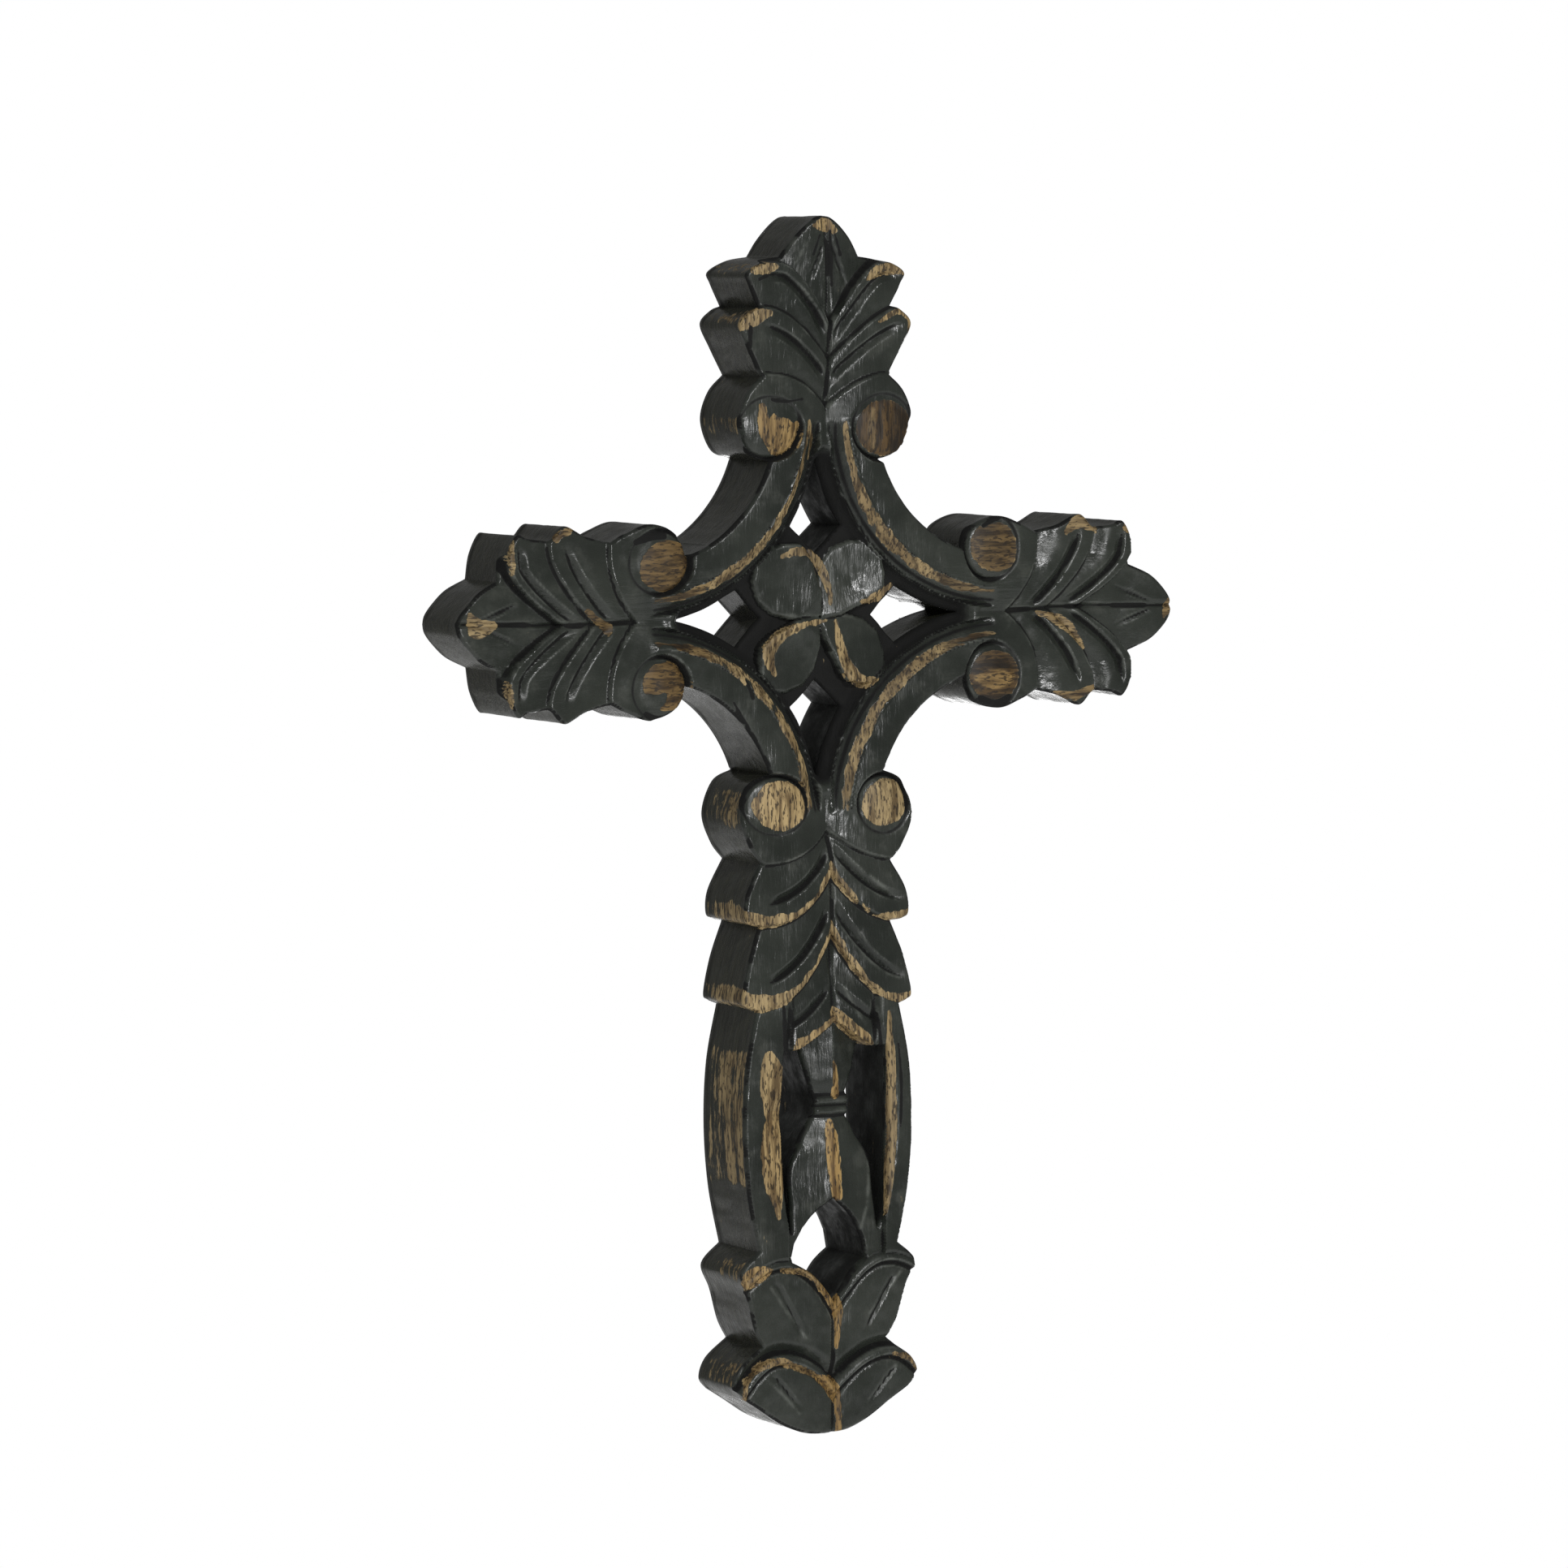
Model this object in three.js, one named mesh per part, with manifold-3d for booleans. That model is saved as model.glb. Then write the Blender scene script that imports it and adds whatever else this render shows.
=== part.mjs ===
// Carved wooden wall cross.
//
// Frame: millimetres, +Z up, +X to the viewer's right. The flat back lies in the plane y = 0 and
// the carved front faces -Y. The origin is the crossing point of the two arms on the back face.
//
// Three boards make the cross: an upright and two arms, butted at two vertical seams and held by
// two dowels each. The relief is cut from the front. A keyhole plate is let into the back.
//
// Each of the four limbs is drawn in its own (u, v) plane: u runs outwards along the limb from
// the crossing point, v is the distance to the side of its middle line.

import * as THREE from "three";
import { mergeVertices } from "three/addons/utils/BufferGeometryUtils.js";
import Module from "manifold-3d";

const wasm = await Module();
wasm.setup();

// ---- Driving dimensions ----------------------------------------------------------------------

const thickness = 23.4; // of the boards, from the back face to the highest part of the relief
const topReach = 100; // crossing point to the tip of the upper limb
const armReach = 101.5; // crossing point to the tip of each arm
const footReach = 206; // crossing point to the bottom of the post
const seamX = 33; // the two glued seams, left and right of the crossing point

const scrollCentre = 50.5; // x and z of the centre that each diagonal scroll is struck from
const scrollOuter = 36.2; // radius of the scroll's outer edge, in the angle between two limbs
const scrollFace = 44; // radius where its front face ends and its bevel begins
const scrollBevel = 46.5; // radius where the bevel ends and the steeper inner slope begins
const scrollInner = 49; // radius where the inner slope meets the sunken middle
const openingRadius = 51.5; // radius of the through-openings' long sides

const eyeRadius = 7.3; // of the round domed eye in each volute
const eyeU = 47.1; // along the limb
const eyeV = 16.2; // to the side
const eyeMoat = 0.9; // width of the groove round each eye
const eyeDepth = 3; // depth of that groove
const eyeSink = 0.3; // how far the top of the dome lies below the front

const middleDepth = 5.8; // of the sunken ground round the four petals
const middleReach = 39; // how far that ground runs out along each limb
const petalMeanDepth = 4.3; // of a petal on its own middle line
const petalTilt = 0.2; // rise of a petal from its low side to its high side, mm per mm

const valleyDepth = 2.2; // extra depth of the leaves on a limb's middle line
const valleyHalfWidth = 12;

const budDepth = 2.8; // of the ridge of the bud on the stem of the post
const leafDepth = 2.4; // of the ridge of the swallowtail leaf below it
const stemSlope = 0.32; // fall of both to each side, mm per mm
const tieDepth = 3.8; // of the tie between them
const barBevels = { left: [3.4, 7.6], right: [2.4, 3.2] }; // depth and width at mid-height

const postShift = 2.2; // how far right of the outline's middle the relief of the post is carved
const [kiteLeft, kiteRight] = [1.12, 0.8]; // breadth of each half of its lowest opening, of a plain kite's

const dowelRadius = 2.5;
const dowelLength = 18;
const dowelZ = 14; // distance of each dowel above or below the crossing point
const dowelY = -9.5; // depth of its centre line, clear of the relief
const clearance = 0.3; // gap left round every piece that sits in a cut

const plateWidth = 30;
const plateHeight = 12;
const plateThickness = 1.6;
const plateZ = 66; // height of the plate's middle on the back of the upper limb
const keyRadius = 4.2; // the keyhole's round part, which passes over a screw head
const keySlot = 2; // half-width of its slot, which grips the screw's neck
const keyRise = 5.2; // from the round part's centre up to the top of the slot
const wellDepth = 5; // of the hollow behind the keyhole, below the floor of the plate's pocket
const wellMargin = 1; // by which that hollow is wider than the keyhole all round
const screwSpacing = 21;
const screwHeadRadius = 2.7;
const screwHeadHeight = 1.2;
const screwRadius = 1.5;
const screwLength = 12;

const aboveFront = 2; // how far every relief cutter starts in front of the boards

// ---- Outline, in (u, v), from the root of each limb outwards ------------------------------------

// One smooth stretch of outline through a few points, with sharp ends.
function bow(points, steps = 3) {
  const curve = new THREE.SplineCurve(points.map(([u, v]) => new THREE.Vector2(u, v)));
  const count = steps * (points.length - 1);
  return curve.getPoints(count).map((p) => [p.x, p.y]);
}

// Stretches that share their end points, joined into one list.
function joined(...stretches) {
  return stretches.flatMap((stretch, i) => (i ? stretch.slice(1) : stretch));
}

// Half of the upper limb or of an arm: volute, two lobes and a pointed tip. notch is how far the
// cuts between the lobes stop short of the middle line.
function terminalHalf(reach, notch) {
  const volute = bow([[39.2, 16], [41.5, 21.4], [49, 24.3], [56, 22.2], [60.3, notch]]);
  const lobe2 = bow([[60.3, notch], [67, 21.6], [73, 24.3], [76.4, 21.4], [77.5, notch + 0.7]]);
  const lobe1 = bow([[77.5, notch + 0.7], [83, 21.4], [86, 22.2], [88.8, 17], [89.8, 11]]);
  const tip = bow([[89.8, 11], [reach - 6.3, 8.4], [reach - 2.6, 5], [reach - 0.5, 2.2], [reach, 0]]);
  return joined(volute, lobe2, lobe1, tip);
}

// Half of the post: volute, two leaves, bowed side bar and two tulip lobes.
function postHalf() {
  const volute = bow([[38.8, 16], [41.5, 21.3], [49.5, 24.3], [57, 21.8], [61.2, 18.5]]);
  const leaf1 = bow([[61.2, 18.5], [69, 22.7], [74.8, 23.2], [76.3, 21.4], [76.9, 18.7]]);
  const leaf2 = bow([[76.9, 18.7], [86, 22.1], [95, 24], [96.9, 22.6], [97.9, 20.3]]);
  const bar = bow([[97.9, 20.3], [112, 23.2], [128, 24], [144, 22.8], [158.4, 19.8]]);
  const tulip1 = bow([[158.4, 19.8], [163.5, 24.9], [170, 22.6], [178, 20.4], [182.8, 17.9]]);
  const tulip2 = bow([[182.8, 17.9], [187.5, 23.8], [192.5, 25.7], [195.5, 23.6]]);
  const foot = bow([[195.5, 23.6], [198.6, 18.8], [202.8, 12.4], [footReach - 0.6, 6], [footReach, 0]]);
  return joined(volute, leaf1, leaf2, bar, tulip1, tulip2, foot);
}

// Where each limb's (u, v) lies in (x, z). side is +1 or -1.
const limbs = {
  top: (u, v) => [v, u],
  right: (u, v) => [u, v],
  left: (u, v) => [-u, v],
  foot: (u, v) => [v, -u],
};

// Where the relief and the openings of the post lie: they drift off its middle below the volutes.
function carvedFoot(u, v) {
  return [v + postShift * THREE.MathUtils.smoothstep(u, 48, 64), -u];
}

// Both halves of a limb, from its root on the side of first to its root on the other side.
function limbOutline(half, place, first) {
  const there = half.map(([u, v]) => place(u, first * v));
  const back = half.map(([u, v]) => place(u, -first * v)).reverse();
  return joined(there, back);
}

// The concave edge of the scroll in the angle between two limbs, without its end points.
function armpit(signX, signZ, from, to, steps = 8) {
  const centre = [signX * scrollCentre, signZ * scrollCentre];
  const angle = ([x, z]) => Math.atan2((z - centre[1]) * signZ, (x - centre[0]) * signX);
  const start = (angle(from) + 2 * Math.PI) % (2 * Math.PI);
  const end = (angle(to) + 2 * Math.PI) % (2 * Math.PI);
  const points = [];
  for (let i = 1; i < steps; i++) {
    const a = start + ((end - start) * i) / steps;
    points.push([
      centre[0] + signX * scrollOuter * Math.cos(a),
      centre[1] + signZ * scrollOuter * Math.sin(a),
    ]);
  }
  return points;
}

function crossOutline() {
  const topHalf = terminalHalf(topReach, 18);
  const armHalf = terminalHalf(armReach, 20);
  const top = limbOutline(topHalf, limbs.top, -1);
  const right = limbOutline(armHalf, limbs.right, 1);
  const foot = limbOutline(postHalf(), limbs.foot, 1);
  const left = limbOutline(armHalf, limbs.left, -1);
  const turns = [
    [top, right, 1, 1],
    [right, foot, 1, -1],
    [foot, left, -1, -1],
    [left, top, -1, 1],
  ];
  return turns.flatMap(([limb, next, signX, signZ]) => [
    ...limb,
    ...armpit(signX, signZ, limb.at(-1), next[0]),
  ]);
}

// ---- Through-openings ----------------------------------------------------------------------------

// A half outline closed by its mirror image about the middle line.
function mirrored(half) {
  const other = half
    .filter(([, v]) => v > 0)
    .map(([u, v]) => [u, -v])
    .reverse();
  return [...half, ...other];
}

// Half-width of the gap between two neighbouring scrolls, at a distance u from the crossing point.
function gapAt(u) {
  return scrollCentre - Math.sqrt(openingRadius ** 2 - (scrollCentre - u) ** 2);
}

// The kite between two petals and two scrolls.
function flowerOpening() {
  const scrollSide = [36, 32.5, 29, 25.5, 22.7].map((u) => [u, gapAt(u)]);
  const petalSide = bow([scrollSide.at(-1), [19.2, 3.4], [15.9, 0]]);
  return mirrored([[40.2, 0], ...joined(scrollSide, petalSide)]);
}

// The slot between the stem of the post and one side bar.
function sideSlot() {
  const bud = bow([[108.3, 8.4], [114, 6.8], [120.2, 4.8]]);
  const swallowtail = bow([[125.4, 4.8], [131, 8], [138.5, 11.6], [147, 11.9], [154.5, 12.3]]);
  const bar = bow([[154.5, 12.3], [148, 14], [130, 14.7], [108.3, 14.4]]);
  return [...bud, ...joined(swallowtail, bar)];
}

// The kite below the swallowtail leaf. It reaches further on the left than on the right.
function leafOpening() {
  const under = bow([[146.4, 0], [149.5, 4.4], [153, 7.6], [157.2, 10]]);
  const bar = [under.at(-1), [161.8, 11]];
  const tulips = bow([bar.at(-1), [163.6, 8], [166.1, 5], [172.2, 0]]);
  const kite = mirrored(joined(under, bar, tulips));
  return kite.map(([u, v]) => [u, v * (v > 0 ? kiteRight : kiteLeft)]);
}

// ---- Solids ----------------------------------------------------------------------------------------

// A closed three.js geometry as a manifold solid, its faces turned outwards.
function solid(geometry) {
  const plain = geometry.index ? geometry.toNonIndexed() : geometry.clone();
  plain.deleteAttribute("normal");
  plain.deleteAttribute("uv");
  const merged = mergeVertices(plain, 1e-4);
  const vertProperties = new Float32Array(merged.attributes.position.array);
  const triVerts = new Uint32Array(merged.index.array);
  const corner = (i) => new THREE.Vector3().fromArray(vertProperties, 3 * triVerts[i]);
  let volume = 0;
  for (let i = 0; i < triVerts.length; i += 3) {
    volume += corner(i).dot(corner(i + 1).cross(corner(i + 2)));
  }
  if (volume < 0) {
    for (let i = 0; i < triVerts.length; i += 3) {
      [triVerts[i], triVerts[i + 1]] = [triVerts[i + 1], triVerts[i]];
    }
  }
  return new wasm.Manifold(new wasm.Mesh({ numProp: 3, vertProperties, triVerts }));
}

// An outline in (x, z) extruded between two depths. Shape axes become x and z, and depth y.
function slab(outline, yFront, yBack) {
  const shape = new THREE.Shape(outline.map(([x, z]) => new THREE.Vector2(x, z)));
  const geometry = new THREE.ExtrudeGeometry(shape, { depth: 1, bevelEnabled: false });
  const at = geometry.attributes.position;
  for (let i = 0; i < at.count; i++) {
    at.setXYZ(i, at.getX(i), at.getZ(i) > 0.5 ? yFront : yBack, at.getY(i));
  }
  return solid(geometry);
}

// An outline cut from the front down to a sloping floor, whose depth is floor(x, z).
function frontCut(outline, floor) {
  const shape = new THREE.Shape(outline.map(([x, z]) => new THREE.Vector2(x, z)));
  const geometry = new THREE.ExtrudeGeometry(shape, { depth: 1, bevelEnabled: false });
  const at = geometry.attributes.position;
  for (let i = 0; i < at.count; i++) {
    const [x, z, isFront] = [at.getX(i), at.getY(i), at.getZ(i) > 0.5];
    at.setXYZ(i, x, isFront ? -thickness - aboveFront : -thickness + floor(x, z), z);
  }
  return solid(geometry);
}

// Sections of equal length skinned into one solid. Each section is {at, ring}, where ring is a
// list of [a, b], and place(at, a, b) gives the point in space.
function loft(sections, place) {
  const size = sections[0].ring.length;
  const points = sections.flatMap(({ at, ring }) => ring.map(([a, b]) => place(at, a, b)));
  const index = [];
  for (let i = 0; i + 1 < sections.length; i++) {
    for (let j = 0; j < size; j++) {
      const [a, b] = [i * size + j, i * size + ((j + 1) % size)];
      index.push(a, b, b + size, a, b + size, a + size);
    }
  }
  const ends = [
    [0, true],
    [sections.length - 1, false],
  ];
  for (const [i, isFirst] of ends) {
    const ring = sections[i].ring.map(([a, b]) => new THREE.Vector2(a, b));
    for (const [a, b, c] of THREE.ShapeUtils.triangulateShape(ring, [])) {
      const face = [a, b, c].map((k) => i * size + k);
      index.push(...(THREE.ShapeUtils.isClockWise(ring) === isFirst ? face : face.reverse()));
    }
  }
  const geometry = new THREE.BufferGeometry();
  geometry.setAttribute("position", new THREE.Float32BufferAttribute(points.flat(), 3));
  geometry.setIndex(index);
  return solid(geometry);
}

function box(x0, x1, y0, y1, z0, z1) {
  const geometry = new THREE.BoxGeometry(x1 - x0, y1 - y0, z1 - z0);
  geometry.translate((x0 + x1) / 2, (y0 + y1) / 2, (z0 + z1) / 2);
  return solid(geometry);
}

// A solid of revolution about a line along Y. profile is a list of [radius, y].
function turned(profile, x, z, segments = 24) {
  const points = profile.map(([radius, y]) => new THREE.Vector2(radius, y));
  const geometry = new THREE.LatheGeometry(points, segments);
  geometry.translate(x, 0, z);
  return solid(geometry);
}

// ---- Relief ----------------------------------------------------------------------------------------

// Places for relief sections across a limb: at is v, a is u, b is the depth below the front.
function acrossLimb(place, side) {
  return (v, u, depth) => {
    const [x, z] = place(u, side * v);
    return [x, -thickness + depth, z];
  };
}

// A leaf's edge: from mid on the middle line out to far at a distance width to the side, leaving
// the middle line steeply and flattening towards the outline.
function edge(mid, far, width, bend = 2.2) {
  return (v) => mid + (far - mid) * (1 - (1 - Math.min(v / width, 1)) ** bend);
}

// The rim of a tulip lobe: low on the middle line, highest at 15 mm, falling again outside.
function tulipRim(mid, crest, fall) {
  return (v) => crest + (v < 15 ? (mid - crest) * ((15 - v) / 15) ** 2 : fall * (v / 15 - 1) ** 2);
}

const valley = (v) => valleyDepth * Math.max(0, 1 - v / valleyHalfWidth) ** 2;

// Stations from the middle line to just outside the outline.
const stations = [0, 1.2, 2.8, 5, 8, 11.5, 15, 19, 23, 29];
const nearMiddle = stations.filter((v) => v <= valleyHalfWidth);

// Cuts one half of a leaf between its rim and the rim of the leaf it comes out from under.
// profile is a list of [share of the way from rim to root, depth].
function leafCut(place, side, rim, root, profile, { sink = valley, vs = stations } = {}) {
  const sections = vs.map((v) => {
    const across = (share) => rim(v) + (root(v) - rim(v)) * share;
    const floor = profile.map(([share, depth]) => [across(share), depth + sink(v)]);
    return { at: v, ring: [[across(0), -aboveFront], ...floor, [across(1), -aboveFront]] };
  });
  return loft(sections, acrossLimb(place, side));
}

// A lobe or leaf: a proud rim, a vein, and a face that dips under the next rim.
const leafProfile = [[0, 0.4], [0.2, 0.5], [0.36, 1.7], [0.5, 0.8], [1, 2.5]];
const tipProfile = [[0, 0.3], [0.75, 0.8], [1, 2.3]];
const voluteProfile = [[0, 0.5], [0.45, 0.7], [1, 0.1]];
const tulipProfile = [[0, 0.2], [0.09, 0.5], [0.16, 1.7], [0.6, 1.3], [1, 3]];

function terminalRelief(place) {
  const tip = edge(72, 90, 10);
  const lobe1 = edge(61, 77.5, 19);
  const lobe2 = edge(52, 60.3, 18);
  const end = () => armReach + 4;
  const volute = edge(42, 48, 12);
  return [1, -1].flatMap((side) => [
    leafCut(place, side, end, tip, tipProfile),
    leafCut(place, side, tip, lobe1, leafProfile),
    leafCut(place, side, lobe1, lobe2, leafProfile),
    leafCut(place, side, lobe2, volute, voluteProfile, { vs: nearMiddle }),
  ]);
}

function postRelief() {
  const volute = edge(42, 50, 12);
  const leaf0 = edge(53, 61, 18.5);
  const leaf1 = edge(64, 76.5, 22, 2.6);
  const leaf2 = edge(79, 97.2, 23, 2.4);
  const cap = edge(100.5, 108, 12.5, 1.3);
  const rim1 = tulipRim(172.2, 161.2, 9);
  const rim2 = tulipRim(193.5, 185.3, 13);
  const end = () => footReach + 4;
  const flat = { sink: () => 0 };
  return [1, -1].flatMap((side) => [
    leafCut(carvedFoot, side, leaf0, volute, voluteProfile, { vs: nearMiddle }),
    leafCut(carvedFoot, side, leaf1, leaf0, leafProfile),
    leafCut(carvedFoot, side, leaf2, leaf1, leafProfile),
    leafCut(carvedFoot, side, cap, leaf2, leafProfile, { vs: nearMiddle }),
    leafCut(carvedFoot, side, rim1, rim2, tulipProfile),
    leafCut(carvedFoot, side, rim2, end, tulipProfile, flat),
    barBevel(side, ...(side > 0 ? barBevels.right : barBevels.left)),
  ]);
}

// The worn bevel along the inner edge of a side bar, tapering out at both ends.
function barBevel(side, deepest, widest) {
  const [from, to, steps] = [101, 157, 8];
  const sections = [];
  for (let i = 0; i <= steps; i++) {
    const u = from + ((to - from) * i) / steps;
    const swell = Math.sin((Math.PI * i) / steps);
    const inner = 11 + 3.9 * swell;
    const outer = inner + 1.5 + (widest - 1.5) * swell;
    const ring = [[outer, -aboveFront], [outer, 0.3], [inner, deepest], [inner, -aboveFront]];
    sections.push({ at: u, ring });
  }
  return loft(sections, (u, v, depth) => {
    const [x, z] = carvedFoot(u, side * v);
    return [x, -thickness + depth, z];
  });
}

// The stem of the post: a ridged bud, a tie and a ridged swallowtail leaf, all below the front.
function stemRelief() {
  const reach = 14.5;
  const block = (from, to) => [[from, 0], [from, reach], [to, reach], [to, 0]];
  const bud = (x) => budDepth + stemSlope * Math.abs(x - postShift);
  const leaf = (x) => leafDepth + stemSlope * Math.abs(x - postShift);
  const cuts = [
    [block(108, 120.4), bud],
    [[[100.5, 0], [108, 12], [108, 0]], bud],
    [block(120.4, 122.4), () => tieDepth],
    [block(122.4, 123), () => tieDepth + 0.7],
    [block(123, 125.4), () => tieDepth],
    [[[125.4, 0], [125.4, 13], [156, 13], [146, 0]], leaf],
  ];
  return [1, -1].flatMap((side) => cuts.map(([outline, floor]) =>
    frontCut(outline.map(([u, v]) => carvedFoot(u, side * v)), floor)));
}

// The bevel and inner slope of one diagonal scroll, shallower at its two ends.
function scrollRelief(signX, signZ) {
  const steps = 16;
  const sections = [];
  for (let i = 0; i <= steps; i++) {
    const angle = (Math.PI / 2) * (i / steps);
    const ease = Math.min(1, 0.35 + 4 * Math.min(i, steps - i) / steps);
    const ring = [
      [scrollFace, -aboveFront],
      [scrollFace, 0],
      [scrollBevel, 1.8 * ease],
      [scrollInner, 4.6 * ease],
      [scrollInner + 3, 4.8 * ease],
      [scrollInner + 3, -aboveFront],
    ];
    sections.push({ at: angle, ring });
  }
  return loft(sections, (angle, radius, depth) => [
    signX * (scrollCentre - radius * Math.cos(angle)),
    -thickness + depth,
    signZ * (scrollCentre - radius * Math.sin(angle)),
  ]);
}

// The four-cusped ground between the scrolls.
function middleGround() {
  const reach = Math.acos((scrollCentre - middleReach) / scrollInner);
  const quarters = [[1, 1], [-1, 1], [-1, -1], [1, -1]];
  return quarters.flatMap(([signX, signZ]) => {
    const arc = [];
    for (let i = 0; i <= 8; i++) {
      const angle = reach + ((Math.PI / 2 - 2 * reach) * i) / 8;
      const [a, b] = [Math.cos(angle), Math.sin(angle)].map((k) => scrollCentre - scrollInner * k);
      arc.push([signX * a, signZ * b]);
    }
    return signX * signZ > 0 ? arc : arc.reverse();
  });
}

// A petal on the diagonal at a quarter turn, tilted so that its clockwise side stands high.
function petal(quarter) {
  const turn = Math.PI / 4 + (Math.PI / 2) * quarter;
  const [alongX, alongZ] = [Math.cos(turn), Math.sin(turn)];
  const high = bow([[0.8, 0], [4, 3.2], [9, 8], [14, 9.4], [18.5, 8], [25.5, 7.6]]);
  const outline = mirrored(high).map(([r, w]) => [
    r * alongX + w * alongZ,
    r * alongZ - w * alongX,
  ]);
  const top = (x, z) => petalMeanDepth - petalTilt * (x * alongZ - z * alongX);
  const block = slab(outline, -thickness + 1, -thickness + middleDepth + 1);
  const wider = outline.map(([x, z]) => [x * 1.2, z * 1.2]);
  return block.subtract(frontCut(wider, top));
}

// Leaves a domed eye standing in a narrow moat.
function eyeCut(x, z) {
  const profile = [[0, -thickness - aboveFront]];
  const moat = -thickness + eyeDepth;
  profile.push([eyeRadius + 1.6 * eyeMoat, -thickness - aboveFront]);
  profile.push([eyeRadius + eyeMoat, moat - 0.6], [eyeRadius, moat]);
  for (let i = 5; i >= 0; i--) {
    const r = (eyeRadius * i) / 6;
    const dome = (eyeDepth - eyeSink) * Math.sqrt(1 - (r / eyeRadius) ** 2);
    profile.push([r, moat - dome]);
  }
  profile.push([0, -thickness - aboveFront]);
  return turned(profile, x, z);
}

// ---- The pieces ----------------------------------------------------------------------------------------

// The whole cross as one carved blank, before it is divided at the seams.
function carvedBlank() {
  const place = (outline, limb) => outline.map(([u, v]) => limb(u, v));
  const openings = Object.values(limbs).map((limb) => place(flowerOpening(), limb));
  const slots = [1, -1].map((side) => sideSlot().map(([u, v]) => carvedFoot(u, side * v)));
  const through = [...openings, ...slots, place(leafOpening(), carvedFoot)];
  const carving = [
    frontCut(middleGround(), () => middleDepth),
    ...[1, -1].flatMap((signX) => [1, -1].map((signZ) => scrollRelief(signX, signZ))),
    ...[limbs.top, limbs.left, limbs.right].flatMap(terminalRelief),
    ...postRelief(),
    ...stemRelief(),
    ...[1, -1].flatMap((a) => [1, -1].flatMap((b) => [
      eyeCut(a * eyeV, b * eyeU),
      eyeCut(a * eyeU, b * eyeV),
    ])),
  ];
  let blank = slab(crossOutline(), -thickness, 0);
  for (const cutter of carving) blank = blank.subtract(cutter);
  for (const quarter of [0, 1, 2, 3]) blank = blank.add(petal(quarter));
  for (const hole of through) blank = blank.subtract(slab(hole, -thickness - aboveFront, 1));
  return blank;
}

// A round pin along X, centred on a seam.
function pin(radius, length, x, z, segments = 20) {
  const geometry = new THREE.CylinderGeometry(radius, radius, length, segments);
  geometry.rotateZ(Math.PI / 2);
  geometry.translate(x, dowelY, z);
  return solid(geometry);
}

// A circle or part of one in (x, z).
function arc(radius, x, z, from, to, steps) {
  return Array.from({ length: steps + 1 }, (_, i) => {
    const angle = from + ((to - from) * i) / steps;
    return [x + radius * Math.cos(angle), z + radius * Math.sin(angle)];
  });
}

// A rectangle with round ends, centred on plateZ.
function stadium(width, height, steps = 8) {
  const [radius, reach] = [height / 2, (width - height) / 2];
  const right = arc(radius, reach, plateZ, -Math.PI / 2, Math.PI / 2, steps);
  const left = arc(radius, -reach, plateZ, Math.PI / 2, (3 * Math.PI) / 2, steps);
  return [...right, ...left];
}

// The keyhole: a round hole with a slot rising from it.
function keyhole(grow = 0) {
  const [radius, half] = [keyRadius + grow, keySlot + grow];
  const z = plateZ - keyRise / 2;
  const open = Math.asin(half / radius);
  const round = arc(radius, 0, z, Math.PI / 2 + open, 2.5 * Math.PI - open, 18);
  const slot = arc(half, 0, z + keyRise, 0, Math.PI, 6);
  return [...round, ...slot];
}

const screwXs = [-screwSpacing / 2, screwSpacing / 2];
const plateBack = -clearance; // the plate lies just below the back face
const plateFront = plateBack - plateThickness;

function hangerPlate() {
  let plate = slab(stadium(plateWidth, plateHeight), plateFront, plateBack);
  plate = plate.subtract(slab(keyhole(), plateFront - 1, plateBack + 1));
  for (const x of screwXs) {
    const hole = [
      [0, plateFront - 1],
      [screwRadius + clearance, plateFront - 1],
      [screwRadius + clearance, plateBack - screwHeadHeight],
      [screwHeadRadius + clearance, plateBack],
      [screwHeadRadius + clearance, plateBack + 1],
      [0, plateBack + 1],
    ];
    plate = plate.subtract(turned(hole, x, plateZ, 20));
  }
  return plate;
}

function hangerScrew(x) {
  const headBack = plateBack;
  const neck = headBack - screwHeadHeight;
  const profile = [
    [0, neck - screwLength],
    [0.4, neck - screwLength],
    [screwRadius, neck - screwLength + 2.5],
    [screwRadius, neck],
    [screwHeadRadius - 0.1, headBack],
    [0, headBack],
  ];
  const slot = box(x - screwHeadRadius, x + screwHeadRadius, headBack - 0.6, headBack + 1,
    plateZ - 0.4, plateZ + 0.4);
  return turned(profile, x, plateZ, 20).subtract(slot);
}

// The pocket for the plate, the deeper well behind the keyhole, and the screw holes.
function hangerPocket() {
  const grow = 2 * clearance;
  const floor = plateFront - clearance;
  let pocket = slab(stadium(plateWidth + grow, plateHeight + grow), floor, 1);
  pocket = pocket.add(slab(keyhole(wellMargin), floor - wellDepth, 0.5));
  for (const x of screwXs) {
    const hole = [
      [0, plateBack - screwHeadHeight - screwLength - 1],
      [screwRadius + clearance, plateBack - screwHeadHeight - screwLength - 1],
      [screwRadius + clearance, 0],
      [0, 0],
    ];
    pocket = pocket.add(turned(hole, x, plateZ, 20));
  }
  return pocket;
}

function boards() {
  const blank = carvedBlank();
  const [far, tall] = [armReach + 20, footReach + 20];
  const dowelHoles = [1, -1].flatMap((side) => [1, -1].map((up) =>
    pin(dowelRadius + clearance, dowelLength + 2 * clearance, side * seamX, up * dowelZ)));
  const divide = (x0, x1) => {
    let board = blank.intersect(box(x0, x1, -thickness - 1, 1, -tall, tall));
    for (const hole of dowelHoles) board = board.subtract(hole);
    return board;
  };
  return {
    upright: divide(-seamX, seamX).subtract(hangerPocket()),
    arm_left: divide(-far, -seamX),
    arm_right: divide(seamX, far),
  };
}

// ---- Assembly --------------------------------------------------------------------------------------------

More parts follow.
